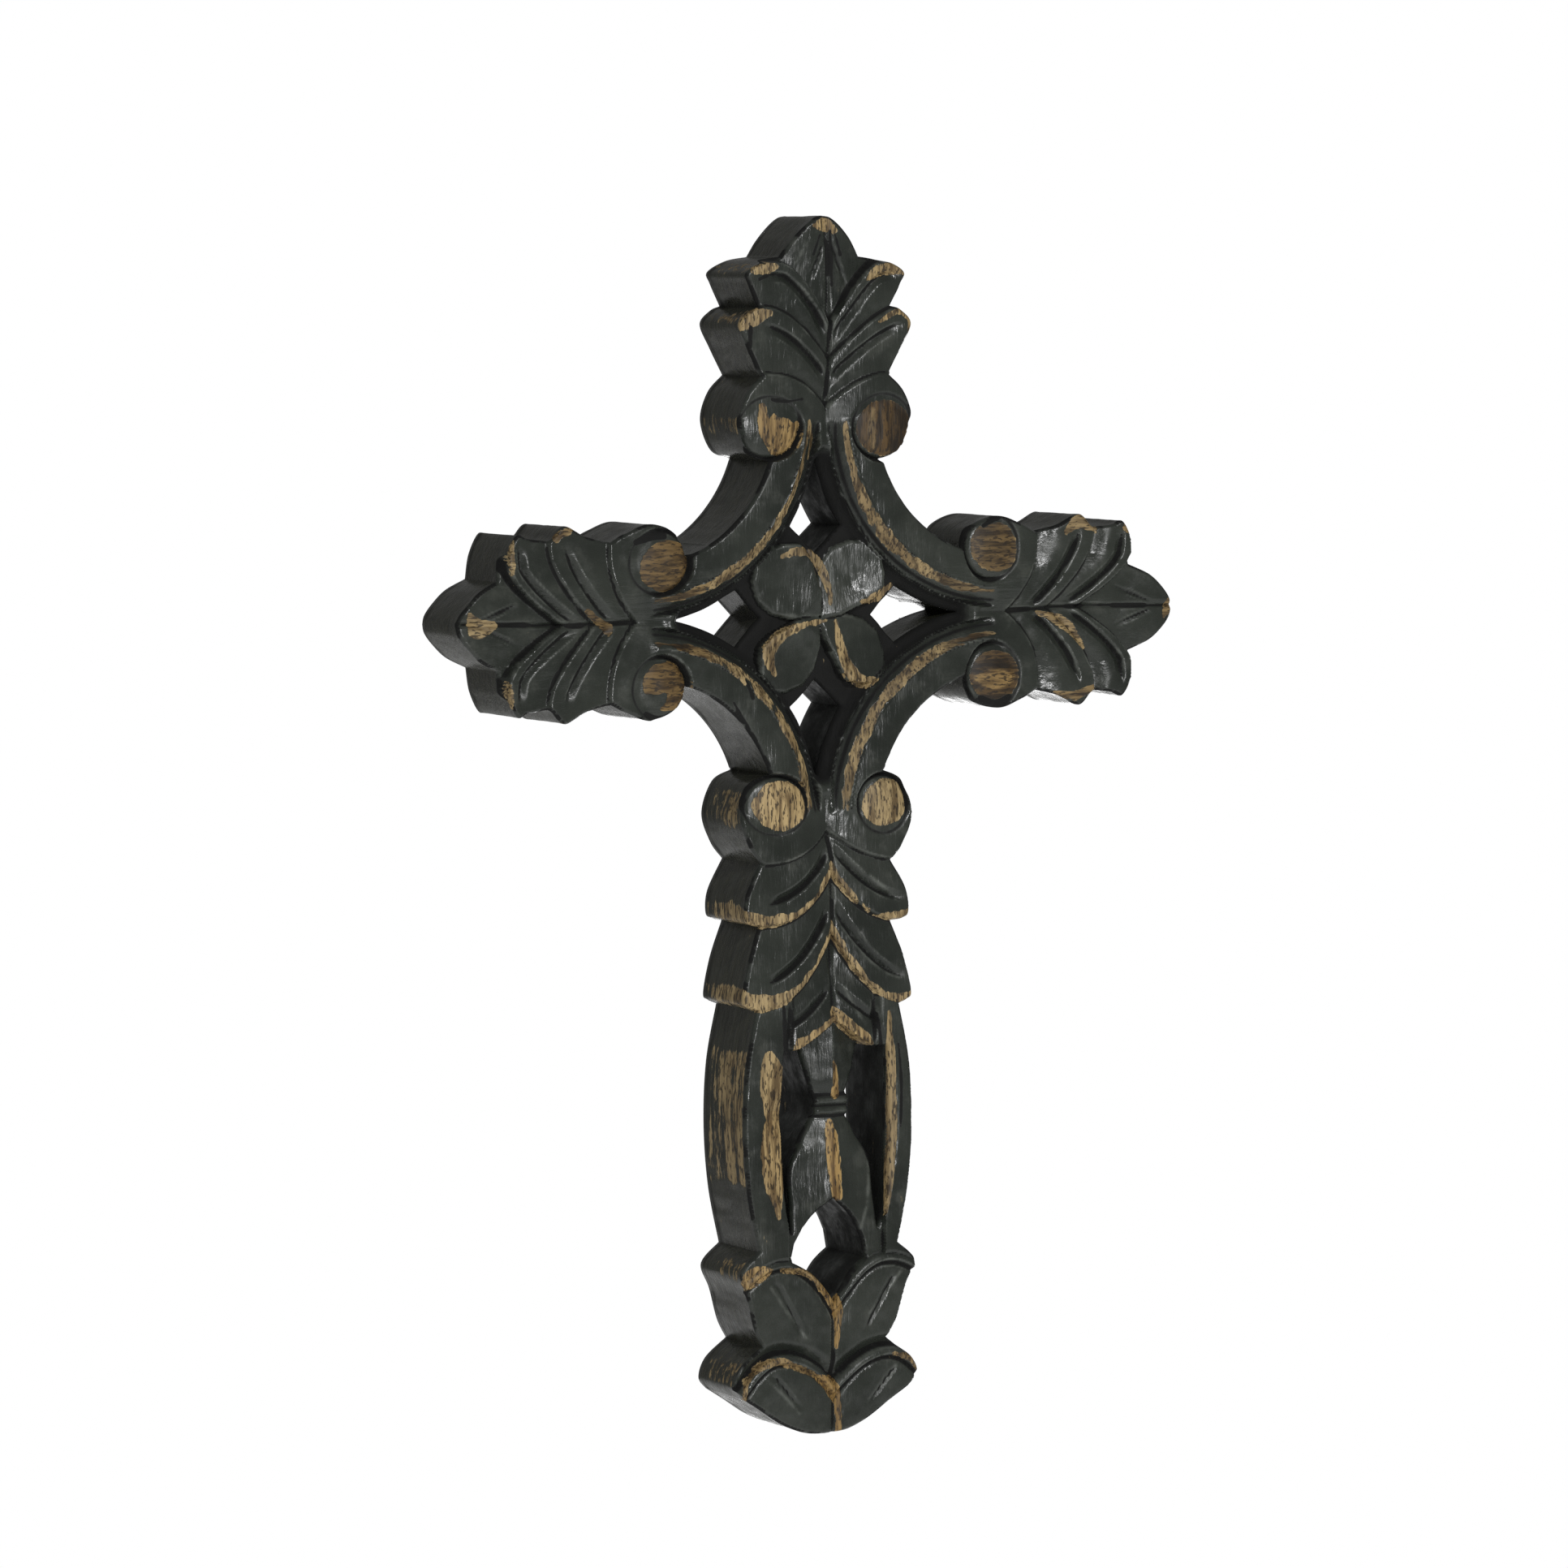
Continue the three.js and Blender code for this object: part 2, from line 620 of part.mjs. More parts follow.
const materials = {
  paint: { color: 0x34373a, roughness: 0.45, metalness: 0 },
  dowelWood: { color: 0xb98f5c, roughness: 0.7, metalness: 0 },
  steel: { color: 0x9a9c9e, roughness: 0.35, metalness: 1 },
};

const cross = new THREE.Group();

function add(name, manifold, material) {
  const mesh = manifold.getMesh();
  const geometry = new THREE.BufferGeometry();
  geometry.setAttribute("position", new THREE.BufferAttribute(mesh.vertProperties, 3));
  geometry.setIndex(new THREE.BufferAttribute(mesh.triVerts, 1));
  geometry.computeVertexNormals();
  const node = new THREE.Mesh(geometry, new THREE.MeshStandardMaterial(materials[material]));
  node.name = name;
  cross.add(node);
}

for (const [name, board] of Object.entries(boards())) add(name, board, "paint");

for (const [side, x] of [["left", -seamX], ["right", seamX]]) {
  for (const [height, z] of [["upper", dowelZ], ["lower", -dowelZ]]) {
    add(`dowel_${side}_${height}`, pin(dowelRadius, dowelLength, x, z), "dowelWood");
  }
}

add("hanger_plate", hangerPlate(), "steel");
add("hanger_screw_left", hangerScrew(screwXs[0]), "steel");
add("hanger_screw_right", hangerScrew(screwXs[1]), "steel");

export default cross;
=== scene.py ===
"""Looks of a carved wooden wall cross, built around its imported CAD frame.

The upright and the two arms are carved here in fine meshes that replace their CAD boards. The four
dowels, the hanger plate and its screws stay CAD nodes with better materials.

Lengths are millimetres until a mesh is made. +Z is up, +X right, the flat back is y = 0 and the
carved front faces -Y. Each limb has its own (u, v): u runs outwards from the crossing point, v to
the side of the limb's middle line. Depths are measured back from the front plane of the boards.
"""

import math

import bmesh
import bpy
import numpy as np
from mathutils import Matrix, Vector
from mathutils.geometry import delaunay_2d_cdt
from mathutils.kdtree import KDTree


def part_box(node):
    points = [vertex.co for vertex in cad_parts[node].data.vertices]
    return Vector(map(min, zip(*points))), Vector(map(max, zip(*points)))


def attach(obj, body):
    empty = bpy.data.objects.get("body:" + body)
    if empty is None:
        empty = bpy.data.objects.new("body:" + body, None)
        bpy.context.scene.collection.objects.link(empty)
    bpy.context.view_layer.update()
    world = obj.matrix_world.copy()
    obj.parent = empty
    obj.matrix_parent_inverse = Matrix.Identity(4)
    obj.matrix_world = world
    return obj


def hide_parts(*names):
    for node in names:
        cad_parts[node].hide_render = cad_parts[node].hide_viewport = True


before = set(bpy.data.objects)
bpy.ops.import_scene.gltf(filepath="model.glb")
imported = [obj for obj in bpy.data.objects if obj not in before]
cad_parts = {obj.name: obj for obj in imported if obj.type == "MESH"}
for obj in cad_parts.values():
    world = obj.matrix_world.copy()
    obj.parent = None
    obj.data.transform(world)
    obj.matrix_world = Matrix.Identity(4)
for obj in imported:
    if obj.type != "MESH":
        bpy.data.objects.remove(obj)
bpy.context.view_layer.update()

MM = 0.001

# ---- Driving sizes, the first five from the frame -------------------------------------------------

upright_low, upright_high = (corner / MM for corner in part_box("upright"))
thickness = -upright_low.y
top_reach = upright_high.z
foot_reach = -upright_low.z
seam_x = upright_high.x
arm_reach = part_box("arm_right")[1].x / MM

spacing = 0.5  # between the points of an outline
grid_pitch = 0.47  # between the points of the carved front
arris = 0.8  # radius of the rubbed front edge
back_chamfer = 0.35
post_shift = 2.2  # how far right of its middle the post is carved
kite_left, kite_right = 1.12, 0.8  # breadths of its lowest opening's halves, as shares of a plain kite's

scroll_centre = 50.5  # x and z of the centre that each diagonal scroll is struck from
scroll_outer = 36.2  # radius of its outer edge, in the angle between two limbs
scroll_face = 43.9  # radius where its plain face ends and its bevel begins
scroll_bevel = 46.5  # radius where the bevel ends and a steeper slope begins
scroll_inner = 49.0  # radius where that slope meets the sunken middle
opening_radius = 51.5  # radius of the through-openings' long sides
middle_depth = 6.8  # of the sunken ground round the petals
petal_depth = 3.8  # of a petal on its own middle line

seen_x, seen_z = -0.537, 0.086  # how far 1 mm of depth moves a mark in the photograph's view

clearance = 0.3  # round every piece that sits in a cut
key_radius = 5.2  # of the hollow behind the keyhole's round part
key_slot = 3.0  # half-width of the hollow behind its slot
key_rise = 5.2  # from the centre of that round part up to the centre of the slot's end
well_depth = 5  # of that hollow, below the floor of the plate's pocket
screw_radius = 1.5
overlap = 0.1  # by which one cut runs into the next

# How far down a side wall its rings of points lie, closer together near the front. A wall of
# wall_length would reach to wall_foot short of the back face.
wall_stations = (0.4, 1.0, 2.0, 3.4, 5, 7, 9, 11.5, 14, 17, 19.8)
wall_length = 20.5
wall_foot = 1.2

noise_cells = 61  # how many features of a noise there are before it repeats
noise_origin = 977.3  # far enough off to keep its coordinates positive


# ---- Small mathematics ------------------------------------------------------------------------------

def smooth(low, high, value):
    """0 below low, 1 above high, and an easy S between them."""
    t = np.clip((value - low) / (high - low), 0, 1)
    return t * t * (3 - 2 * t)


def bump(value, centre, width):
    """A rounded hump of height 1, zero beyond centre +- width."""
    t = np.clip(np.abs(value - centre) / width, 0, 1)
    return (1 - t * t) ** 2


def mix(a, b, share):
    return a + (b - a) * share


def noise(a, b, size, seed):
    """Smooth noise from -1 to 1 with features about size millimetres across."""
    table = np.random.default_rng(seed).uniform(-1, 1, (noise_cells, noise_cells))
    a, b = np.asarray(a) / size + noise_origin, np.asarray(b) / size + noise_origin
    i, j = np.floor(a).astype(int), np.floor(b).astype(int)
    f, g = a - i, b - j
    f, g = f * f * (3 - 2 * f), g * g * (3 - 2 * g)
    at = lambda di, dj: table[(i + di) % noise_cells, (j + dj) % noise_cells]
    return mix(mix(at(0, 0), at(1, 0), f), mix(at(0, 1), at(1, 1), f), g)


def bow(points, pitch=spacing):
    """A smooth curve through points, with an even pitch and sharp ends."""
    points = np.array(points, float)
    fine = []
    last = len(points) - 1
    for i in range(last):
        p0, p1, p2, p3 = points[max(i - 1, 0)], points[i], points[i + 1], points[min(i + 2, last)]
        v0, v1 = (p2 - p0) / 2, (p3 - p1) / 2
        t = np.linspace(0, 1, 40, endpoint=False)[:, None]
        curve = (2 * p1 - 2 * p2 + v0 + v1) * t**3 + (3 * p2 - 3 * p1 - 2 * v0 - v1) * t**2
        fine.append(curve + v0 * t + p1)
    fine = np.vstack(fine + [points[-1:]])
    steps = np.linalg.norm(np.diff(fine[:, :2], axis=0), axis=1)
    travel = np.concatenate([[0], np.cumsum(steps)])
    stations = np.linspace(0, travel[-1], max(2, round(travel[-1] / pitch) + 1))
    return np.stack([np.interp(stations, travel, column) for column in fine.T], 1)


def joined(*stretches):
    """Stretches that share their end points, as one list of points."""
    return np.vstack([s if i == 0 else s[1:] for i, s in enumerate(stretches)])


# ---- Outline ----------------------------------------------------------------------------------------

def terminal_half(reach, notch):
    """Half of the upper limb or of an arm: volute, two lobes and a pointed tip."""
    return joined(
        bow([(39.2, 16), (41.5, 21.4), (49, 24.3), (56, 22.2), (60.3, notch)]),
        bow([(60.3, notch), (67, 21.6), (73, 24.3), (76.4, 21.4), (77.5, notch + 0.7)]),
        bow([(77.5, notch + 0.7), (83, 21.4), (86, 22.2), (88.8, 17), (89.8, 11)]),
        bow([(89.8, 11), (reach - 6.3, 8.4), (reach - 2.6, 5), (reach - 0.5, 2.2), (reach, 0)]),
    )


def post_half():
    """Half of the post: volute, two leaves, bowed side bar and two tulip lobes."""
    return joined(
        bow([(38.8, 16), (41.5, 21.3), (49.5, 24.3), (57, 21.8), (61.2, 18.5)]),
        bow([(61.2, 18.5), (69, 22.7), (74.8, 23.2), (76.3, 21.4), (76.9, 18.7)]),
        bow([(76.9, 18.7), (86, 22.1), (95, 24), (96.9, 22.6), (97.9, 20.3)]),
        bow([(97.9, 20.3), (112, 23.2), (128, 24), (144, 22.8), (158.4, 19.8)]),
        bow([(158.4, 19.8), (163.5, 24.9), (170, 22.6), (178, 20.4), (182.8, 17.9)]),
        bow([(182.8, 17.9), (187.5, 23.8), (192.5, 25.7), (195.5, 23.6)]),
        bow([(195.5, 23.6), (198.6, 18.8), (202.8, 12.4), (foot_reach - 0.6, 6), (foot_reach, 0)]),
    )


LIMBS = {
    "top": lambda u, v: (v, u),
    "right": lambda u, v: (u, v),
    "left": lambda u, v: (-u, v),
    "foot": lambda u, v: (v, -u),
}


def drift(u):
    """How far right of the post's middle its relief and openings lie: they drift off at the volutes."""
    return post_shift * smooth(48, 64, u)


def carved_foot(u, v):
    return v + drift(u), -u


def placed(outline, place):
    return np.stack(place(outline[:, 0], outline[:, 1]), 1)


def limb_outline(half, place, first):
    """Both halves of a limb, from its root on the side of first to its root on the other side."""
    there = placed(half * (1, first), place)
    back = placed(half * (1, -first), place)[::-1]
    return joined(there, back)


def armpit(sign_x, sign_z, start, end):
    """The concave outer edge of the scroll in the angle between two limbs."""
    centre = np.array([sign_x, sign_z]) * scroll_centre
    angles = []
    for point in (start, end):
        dx, dz = (point - centre) * (sign_x, sign_z)
        angles.append(math.atan2(dz, dx) % (2 * math.pi))
    count = round(abs(angles[1] - angles[0]) * scroll_outer / spacing)
    turn = np.linspace(*angles, count + 1)[1:-1]
    arc = scroll_outer * np.stack([np.cos(turn) * sign_x, np.sin(turn) * sign_z], 1)
    return centre + arc


def cross_outline():
    top_half = terminal_half(top_reach, 18)
    arm_half = terminal_half(arm_reach, 20)
    top = limb_outline(top_half, LIMBS["top"], -1)
    right = limb_outline(arm_half, LIMBS["right"], 1)
    foot = limb_outline(post_half(), LIMBS["foot"], 1)
    left = limb_outline(arm_half, LIMBS["left"], -1)
    turns = [(top, right, 1, 1), (right, foot, 1, -1), (foot, left, -1, -1), (left, top, -1, 1)]
    parts = []
    for limb, following, sign_x, sign_z in turns:
        parts += [limb, armpit(sign_x, sign_z, limb[-1], following[0])]
    return np.vstack(parts)


def mirrored(half):
    """A half outline closed by its mirror image about the middle line."""
    other = half[half[:, 1] > 1e-6] * (1, -1)
    return np.vstack([half, other[::-1]])


def gap_at(u):
    """Half-width of the gap between two neighbouring scrolls."""
    return scroll_centre - np.sqrt(opening_radius**2 - (scroll_centre - u) ** 2)


def flower_opening():
    """The kite between two petals and two scrolls."""
    u = np.linspace(40.2, 22.7, 38)
    scroll_side = np.stack([u, np.maximum(gap_at(u), 0)], 1)
    scroll_side[0] = (40.2, 0)
    petal_side = bow([scroll_side[-1], (19.2, 3.4), (15.9, 0)])
    return mirrored(joined(scroll_side, petal_side))


def side_slot():
    """The slot between the stem of the post and one side bar."""
    return np.vstack([
        bow([(108.3, 14.4), (108.3, 8.4)])[:-1],
        bow([(108.3, 8.4), (114, 6.8), (120.2, 4.8)]),
        bow([(120.2, 4.8), (125.4, 4.8)])[1:-1],
        bow([(125.4, 4.8), (131, 8), (138.5, 11.6), (147, 11.9), (154.5, 12.3)])[:-1],
        bow([(154.5, 12.3), (148, 14), (130, 14.7), (108.3, 14.4)])[:-1],
    ])


def leaf_opening():
    """The kite below the swallowtail leaf. It reaches further on the left than on the right."""
    under = bow([(146.4, 0), (149.5, 4.4), (153, 7.6), (157.2, 10)])
    bar = bow([(157.2, 10), (161.8, 11)])
    tulips = bow([(161.8, 11), (163.6, 8), (166.1, 5), (172.2, 0)])
    kite = mirrored(joined(under, bar, tulips))
    kite[:, 1] *= np.where(kite[:, 1] > 0, kite_right, kite_left)
    return kite


def through_openings():
    holes = [placed(flower_opening(), place) for place in LIMBS.values()]
    holes += [placed(side_slot() * (1, side), carved_foot) for side in (1, -1)]
    holes.append(placed(leaf_opening(), carved_foot))
    return holes


# ---- Relief -------------------------------------------------------------------------------------------

# Masks for the shader: the fourth holds black paint and painted shade, the sixth painted highlights.
MASKS = ("wear", "gold", "umber", "soot_and_shade", "olive", "painted_highlight")


class Carving:
    """The carved front over many points at once: its depth, how each spot has aged, and where shade and
    highlights are painted.
    """

    def __init__(self, x, z):
        self.x, self.z = x, z
        self.depth = np.zeros_like(x)
        self.moat = np.zeros_like(x)  # the grooves round the eyes
        self.wear = np.zeros_like(x)  # rubbed through to bare wood
        self.gold = np.zeros_like(x)  # warmer wood
        self.umber = np.zeros_like(x)  # dark stained wood
        # Black paint left in cuts, and painted shade in grooves, hollows, steps, the sunken middle and the
        # openings.
        self.soot_and_shade = np.zeros_like(x)  # black paint left in cuts
        self.olive = np.zeros_like(x)  # thin greenish paint
        # Painted highlights: paler paint on ridges and crests where the light catches them.
        self.painted_highlight = np.zeros_like(x)  # paint polished paler on a ridge

    def lay(self, mask, depth):
        self.depth = mix(self.depth, depth, mask)

    def rub(self, amount, gold=0.0, umber=0.0):
        """Wears a place. amount runs from 0 to 1, and the tones tint only that place."""
        share = np.clip(amount, 0, 1)
        tint = smooth(0.05, 0.4, share)
        self.gold = mix(self.gold, gold, tint)
        self.umber = mix(self.umber, umber, tint)
        self.wear = np.maximum(self.wear, share)

    # Darkens a place, with black paint or with painted shade.
    def blacken(self, amount):
        self.soot_and_shade = np.maximum(self.soot_and_shade, np.clip(amount, 0, 1))

    def masks(self):
        return np.stack([getattr(self, name) for name in MASKS], 1)


def edge(mid, far, width, bend=2.2):
    """A leaf's rim: steep at the middle line, flattening out to the outline."""
    return lambda v: mid + (far - mid) * (1 - (1 - np.minimum(v / width, 1)) ** bend)


def slope(curve, v):
    low, high = np.maximum(v - 0.3, 0), v + 0.3
    return (curve(high) - curve(low)) / (high - low)


def across(curve, u, v):
    """Signed distance from a rim, positive outwards."""
    return (u - curve(v)) / np.sqrt(1 + slope(curve, v) ** 2)


def root_distance(v, rim, root):
    return (rim(v) - root(v)) / np.sqrt(1 + ((slope(rim, v) + slope(root, v)) / 2) ** 2)


def leaf(u, v, rim, root, vein, depths):
    """Depth and cut of one lobe between its own rim and the rim that it comes out from under.

    vein is (share at the middle line, share at the outline, depth of the cut), and depths are those
    of the rim, of the face beside the vein and of the root.
    """
    length = np.maximum(root_distance(v, rim, root), 2.0)
    inward = -across(rim, u, v)
    share = np.clip(inward / length, 0, 1)
    at_rim, at_face, at_root = depths
    depth = mix(at_rim, at_face, smooth(0.0, 0.55, share))
    depth = mix(depth, at_root, smooth(0.45, 1.0, share) ** 1.3)
    near, far, deep = vein
    line = mix(near, far, np.clip(v / 18, 0, 1)) * length
    strength = smooth(0.3, 3.0, v) * (1 - smooth(14.5, 20.5, v))
    offset = inward - line
    groove = np.where(offset < 0, 1 + offset / 0.8, 1 - offset / 2.0)
    groove = np.clip(groove, 0, 1) * strength
    # The second value marks the vein cut, which is painted black as shade.
    return depth + deep * groove, np.clip(1.1 - np.abs(offset + 0.1) / 0.75, 0, 1) * strength


def rows(u, v, rims, leaves, step=0.8):
    """A row of overlapping lobes.

    rims run inwards from the outermost, and leaves[i + 1] lies inside rims[i].
    """
    depth, cut = leaves[0]
    for rim, (inner_depth, inner_cut) in zip(rims, leaves[1:]):
        inside = 1 - smooth(-0.1, step, across(rim, u, v))
        depth = mix(depth, inner_depth, inside)
        cut = mix(cut, inner_cut, inside)
    return depth, cut


def valley(v, depth=2.2, half_width=12):
    """The leaves fall towards the middle line."""
    return depth * np.maximum(0, 1 - v / half_width) ** 2


def middle_line(u, v, spans, width=0.5):
    """Black stretches of the cut along a middle line, painted as shade. spans are (from, to)."""
    cut = np.zeros_like(u)
    for start, end in spans:
        length = smooth(start, start + 2, u) * (1 - smooth(end - 2, end, u))
        cut = np.maximum(cut, length * np.clip(1.6 - v / width, 0, 1))
    return cut


def worn_rims(carving, where, u, v, v_signed, rims, rubbed):
    """Rubs rims: rubbed holds (rim number, [(v, width), ...], gold, umber)."""
    for number, widths, gold, umber in rubbed:
        width = np.interp(v_signed, *zip(*widths)) + 0.5 * noise(u, v_signed, 2.5, 40 + number)
        inward = -across(rims[number], u, v)
        band = smooth(-1.1, -0.4, inward) * (1 - smooth(width - 0.7, width + 0.6, inward))
        carving.rub(where * band * smooth(0.3, 0.8, width), gold, umber)


def terminal(carving, where, u, v_signed, reach, middle, black, at_root):
    """Relief of the upper limb or an arm beyond its volutes.

    middle gives its middle line's (u, offset), black the (from, to) of that line's black stretches, and
    at_root how deep the roots of its lobes lie near the middle line and far out.
    """
    v_signed = v_signed - np.interp(u, *zip(*middle))
    v = np.abs(v_signed)
    depths = (0.35, 0.9, mix(*at_root, smooth(8, 15, v)))
    tip = edge(72.5, 88.3, 14, 1.5)
    lobe1 = edge(63.5, 77.2, 19, 1.6)
    lobe2 = edge(52, 60.6, 18)
    leaves = [
        tip_face(u, v, reach, tip),
        leaf(u, v, tip, lobe1, (0.32, 0.24, 1.5), depths),
        leaf(u, v, lobe1, lobe2, (0.36, 0.27, 1.5), depths),
        (mix(0.5, 0.2, smooth(0, 10, -across(lobe2, u, v))), np.zeros_like(u)),
    ]
    depth, cut = rows(u, v, [tip, lobe1, lobe2], leaves)
    depth = depth + valley(v) * smooth(40, 46, u)
    line = middle_line(u, v, black)
    depth = depth + 0.7 * np.clip(1 - v / 0.9, 0, 1) * smooth(50, 56, u)
    carving.lay(where, depth)
    # Painted shade: black in the vein cuts, along the middle line and at the foot of each rim, where the step
    # lies in shade.
    broken = 0.75 + 0.5 * noise(u, v_signed, 3, 5)
    soot_and_shade = np.maximum(broken * cut, line)
    for rim in (tip, lobe1):
        foot = bump(across(rim, u, v), 0.7, 0.7) * smooth(1, 3, v) * (1 - smooth(16, 21, v))
        soot_and_shade = np.maximum(soot_and_shade, broken * foot)
    carving.blacken(where * soot_and_shade)


def tip_face(u, v, reach, tip):
    """The pointed tip: two facets beside a midrib, with a low vein on each."""
    share = np.clip(across(tip, u, v) / 12, 0, 1)
    depth = mix(2.4, 0.4, smooth(0, 1, share)) + 0.17 * v
    vein = np.maximum(0.40 * (reach - 4 - u), 0.8)
    cut = np.clip(1 - np.abs(v - vein) / 0.9, 0, 1) * bump(u, reach - 11, 8)
    # The second value is painted shade in the veins.
    return depth + 0.7 * cut, 0.5 * cut


def post(carving, where, u, v_signed):
    """Relief of the post below its volutes: leaves, openwork and tulips."""
    v_signed = v_signed - drift(u)
    v = np.abs(v_signed)
    left = v_signed < 0
    leaf0 = edge(53, 61, 18.5)
    leaf1 = edge(64, 76.6, 22, 2.6)
    leaf2 = edge(79, 97.4, 23, 2.4)
    cap = edge(101, 109, 13, 1.3)
    none = np.zeros_like(u)
    leaves = [
        (2.6 + none, none),
        leaf(u, v, cap, leaf2, (0.50, 0.50, 1.2), (0.4, 0.9, 2.0)),
        leaf(u, v, leaf2, leaf1, (0.42, 0.30, 1.6), (0.3, 0.9, 1.9)),
        leaf(u, v, leaf1, leaf0, (0.48, 0.34, 1.6), (0.3, 0.9, 1.8)),
        (0.35 + none, none),
    ]
    depth, cut = rows(u, v, [cap, leaf2, leaf1, leaf0], leaves)
    cut = cut * smooth(-2, 0, -across(cap, u, v))
    on_leaves = smooth(40, 46, u) * (1 - smooth(97, 103, u))
    depth = depth + valley(v, 2.0) * on_leaves
    depth = depth + 0.6 * np.clip(1 - v / 0.9, 0, 1) * smooth(52, 56, u) * (1 - smooth(97, 101, u))
    # Painted shade in the vein cuts, darker on the left leaves than on the right as the light falls, and
    # along the middle line.
    soot_and_shade = np.maximum(cut * np.where(left, 1.0, 0.55), middle_line(u, v, [(54, 62.5), (70, 77)]))
    # Painted shade at the foot of each leaf's rim.
    for rim in (leaf1, leaf2):
        soot_and_shade = np.maximum(soot_and_shade, 0.9 * bump(across(rim, u, v), 0.8, 0.7))

    below_leaf = across(leaf2, u, v)
    bars = smooth(-0.8, 1.2, below_leaf) * smooth(11.5, 13.2, v)
    depth = mix(depth, side_bar(u, v, left), bars)
    soot_and_shade = soot_and_shade * (1 - bars * (below_leaf > 0.4))
    # Painted shade in the grooves beside the side bars.
    grooves = np.maximum(bump(v_signed, -13.2, 1.0), bump(v_signed, 11.2, 0.9)) * bump(u, 102, 8)
    depth = depth + 1.3 * grooves * (below_leaf > 0)
    soot_and_shade = np.maximum(soot_and_shade, grooves * (below_leaf > 0))

    below_cap = smooth(0.0, 0.8, across(cap, u, v)) * (v < 13.6)
    stem_depth, stem_soot_and_shade = stem(u, v)
    depth = mix(depth, stem_depth, below_cap)
    soot_and_shade = mix(soot_and_shade, stem_soot_and_shade, below_cap)
    tulip_depth, tulip_soot_and_shade, first_rim = tulips(u, v)
    flower = smooth(-0.8, 0.1, first_rim)
    depth = mix(depth, tulip_depth, flower)
    soot_and_shade = mix(soot_and_shade, tulip_soot_and_shade, flower)
    carving.lay(where, depth)
    carving.blacken(where * soot_and_shade)
    worn_rims(carving, where, u, v, v_signed, (leaf1, leaf2, cap), RUBBED_POST)


# Bare rims of the post's leaves: (rim number, [(v, width), ...], gold, umber).
RUBBED_POST = [
    (0, [(-26, 4.2), (-21, 3.2), (-15, 2.0), (-9, 1.3), (-3, 1.3), (0, 1.6), (3, 1.3), (7, 0.8),
         (12, 0.7), (17, 2.0), (22, 3.2)], 0.15, 0.15),
    (1, [(-26, 4.6), (-20, 3.4), (-13, 2.0), (-6, 0.9), (0, 1.4), (3, 1.2), (8, 0.9), (14, 0.6),
         (18, 1.4), (22, 2.8)], 0.15, 0.15),
    (2, [(-12.5, 0), (-11.5, 2.8), (-6, 1.9), (-2, 1.0), (0, 2.6), (5, 2.8), (9, 2.4), (11, 0)],
     0.35, 0.15),
]


def side_bar(u, v, left):
    """A bowed bar: flat front, and a rubbed bevel along its inner edge."""
    swell = np.sin(np.pi * np.clip((u - 99) / 57, 0, 1))
    inner = 11 + 3.7 * swell
    width = np.where(left, 1.5 + 6.1 * swell, 1.2 + 2.0 * swell)
    deepest = np.where(left, 2.3, 1.8) * (0.3 + 0.7 * swell)
    share = np.clip((v - inner) / width, 0, 1)
    hollow = 0.8 * bump(u, 125, 5) * left * (1 - share)
    return mix(deepest, 0.15, share ** 0.8) + hollow


def stem(u, v):
    """The ridged bud, its tie of two cords and the swallowtail leaf."""
    bud = 2.2 + 0.38 * v + 0.9 * smooth(116, 120.3, u)
    fall = mix(0.38, 0.16, smooth(130, 135, u))
    tail = mix(2.2 + fall * v, 1.6, smooth(138, 155, u)) + 1.0 * (1 - smooth(125.4, 129.5, u))
    cord = np.maximum(bump(u, 121.7, 1.3), bump(u, 124.2, 1.3))
    tie = 3.5 - 0.9 * cord + 0.05 * v
    depth = mix(bud, tie, smooth(119.9, 120.5, u))
    depth = mix(depth, tail, smooth(125.2, 126.0, u))
    # Painted shade in the cuts between bud, tie and leaf, and between the two cords.
    soot_and_shade = np.maximum(bump(u, 120.2, 0.7), bump(u, 125.6, 0.8)) + 0.8 * bump(u, 122.95, 0.5)
    return depth, soot_and_shade


def tulip_rim(mid, crest, fall):
    """The rim of a tulip lobe, highest 15 mm from the middle line."""
    return lambda v: crest + np.where(
        v < 15, (mid - crest) * (np.maximum(15 - v, 0) / 15) ** 2, fall * np.maximum(v / 15 - 1, 0) ** 2)


def tulips(u, v):
    """Two pairs of tulip lobes, whose rims face up the post."""
    rim1 = tulip_rim(172.2, 161.2, 9)
    rim2 = tulip_rim(193.5, 185.3, 13)
    d1, d2 = across(rim1, u, v), across(rim2, u, v)
    upper = tulip_face(d1, np.maximum(rim2(v) - rim1(v), 8), u, v, (16.5, 167, 8, 182))
    lower = tulip_face(d2, 22 + 0 * u, u, v, (17, 190.5, 9, 200))
    under = smooth(-0.1, 0.9, d2 + 0.9)
    depth = mix(upper[0] + 1.8 * smooth(-4, -0.4, d2), lower[0] + 0.2, under)
    depth = depth + 1.3 * np.maximum(0, 1 - v / 7) ** 2 + 0.6 * np.clip(1 - v / 0.8, 0, 1)
    soot_and_shade = mix(upper[1], lower[1], under)
    # Painted shade in the step under the lower lobes' rims, and along the middle line.
    soot_and_shade = np.maximum(soot_and_shade, bump(d2, -0.9, 0.8) * smooth(1, 3, v) * 0.9)
    soot_and_shade = np.maximum(soot_and_shade, middle_line(u, v, [(184, 194)]))
    return depth, soot_and_shade, d1


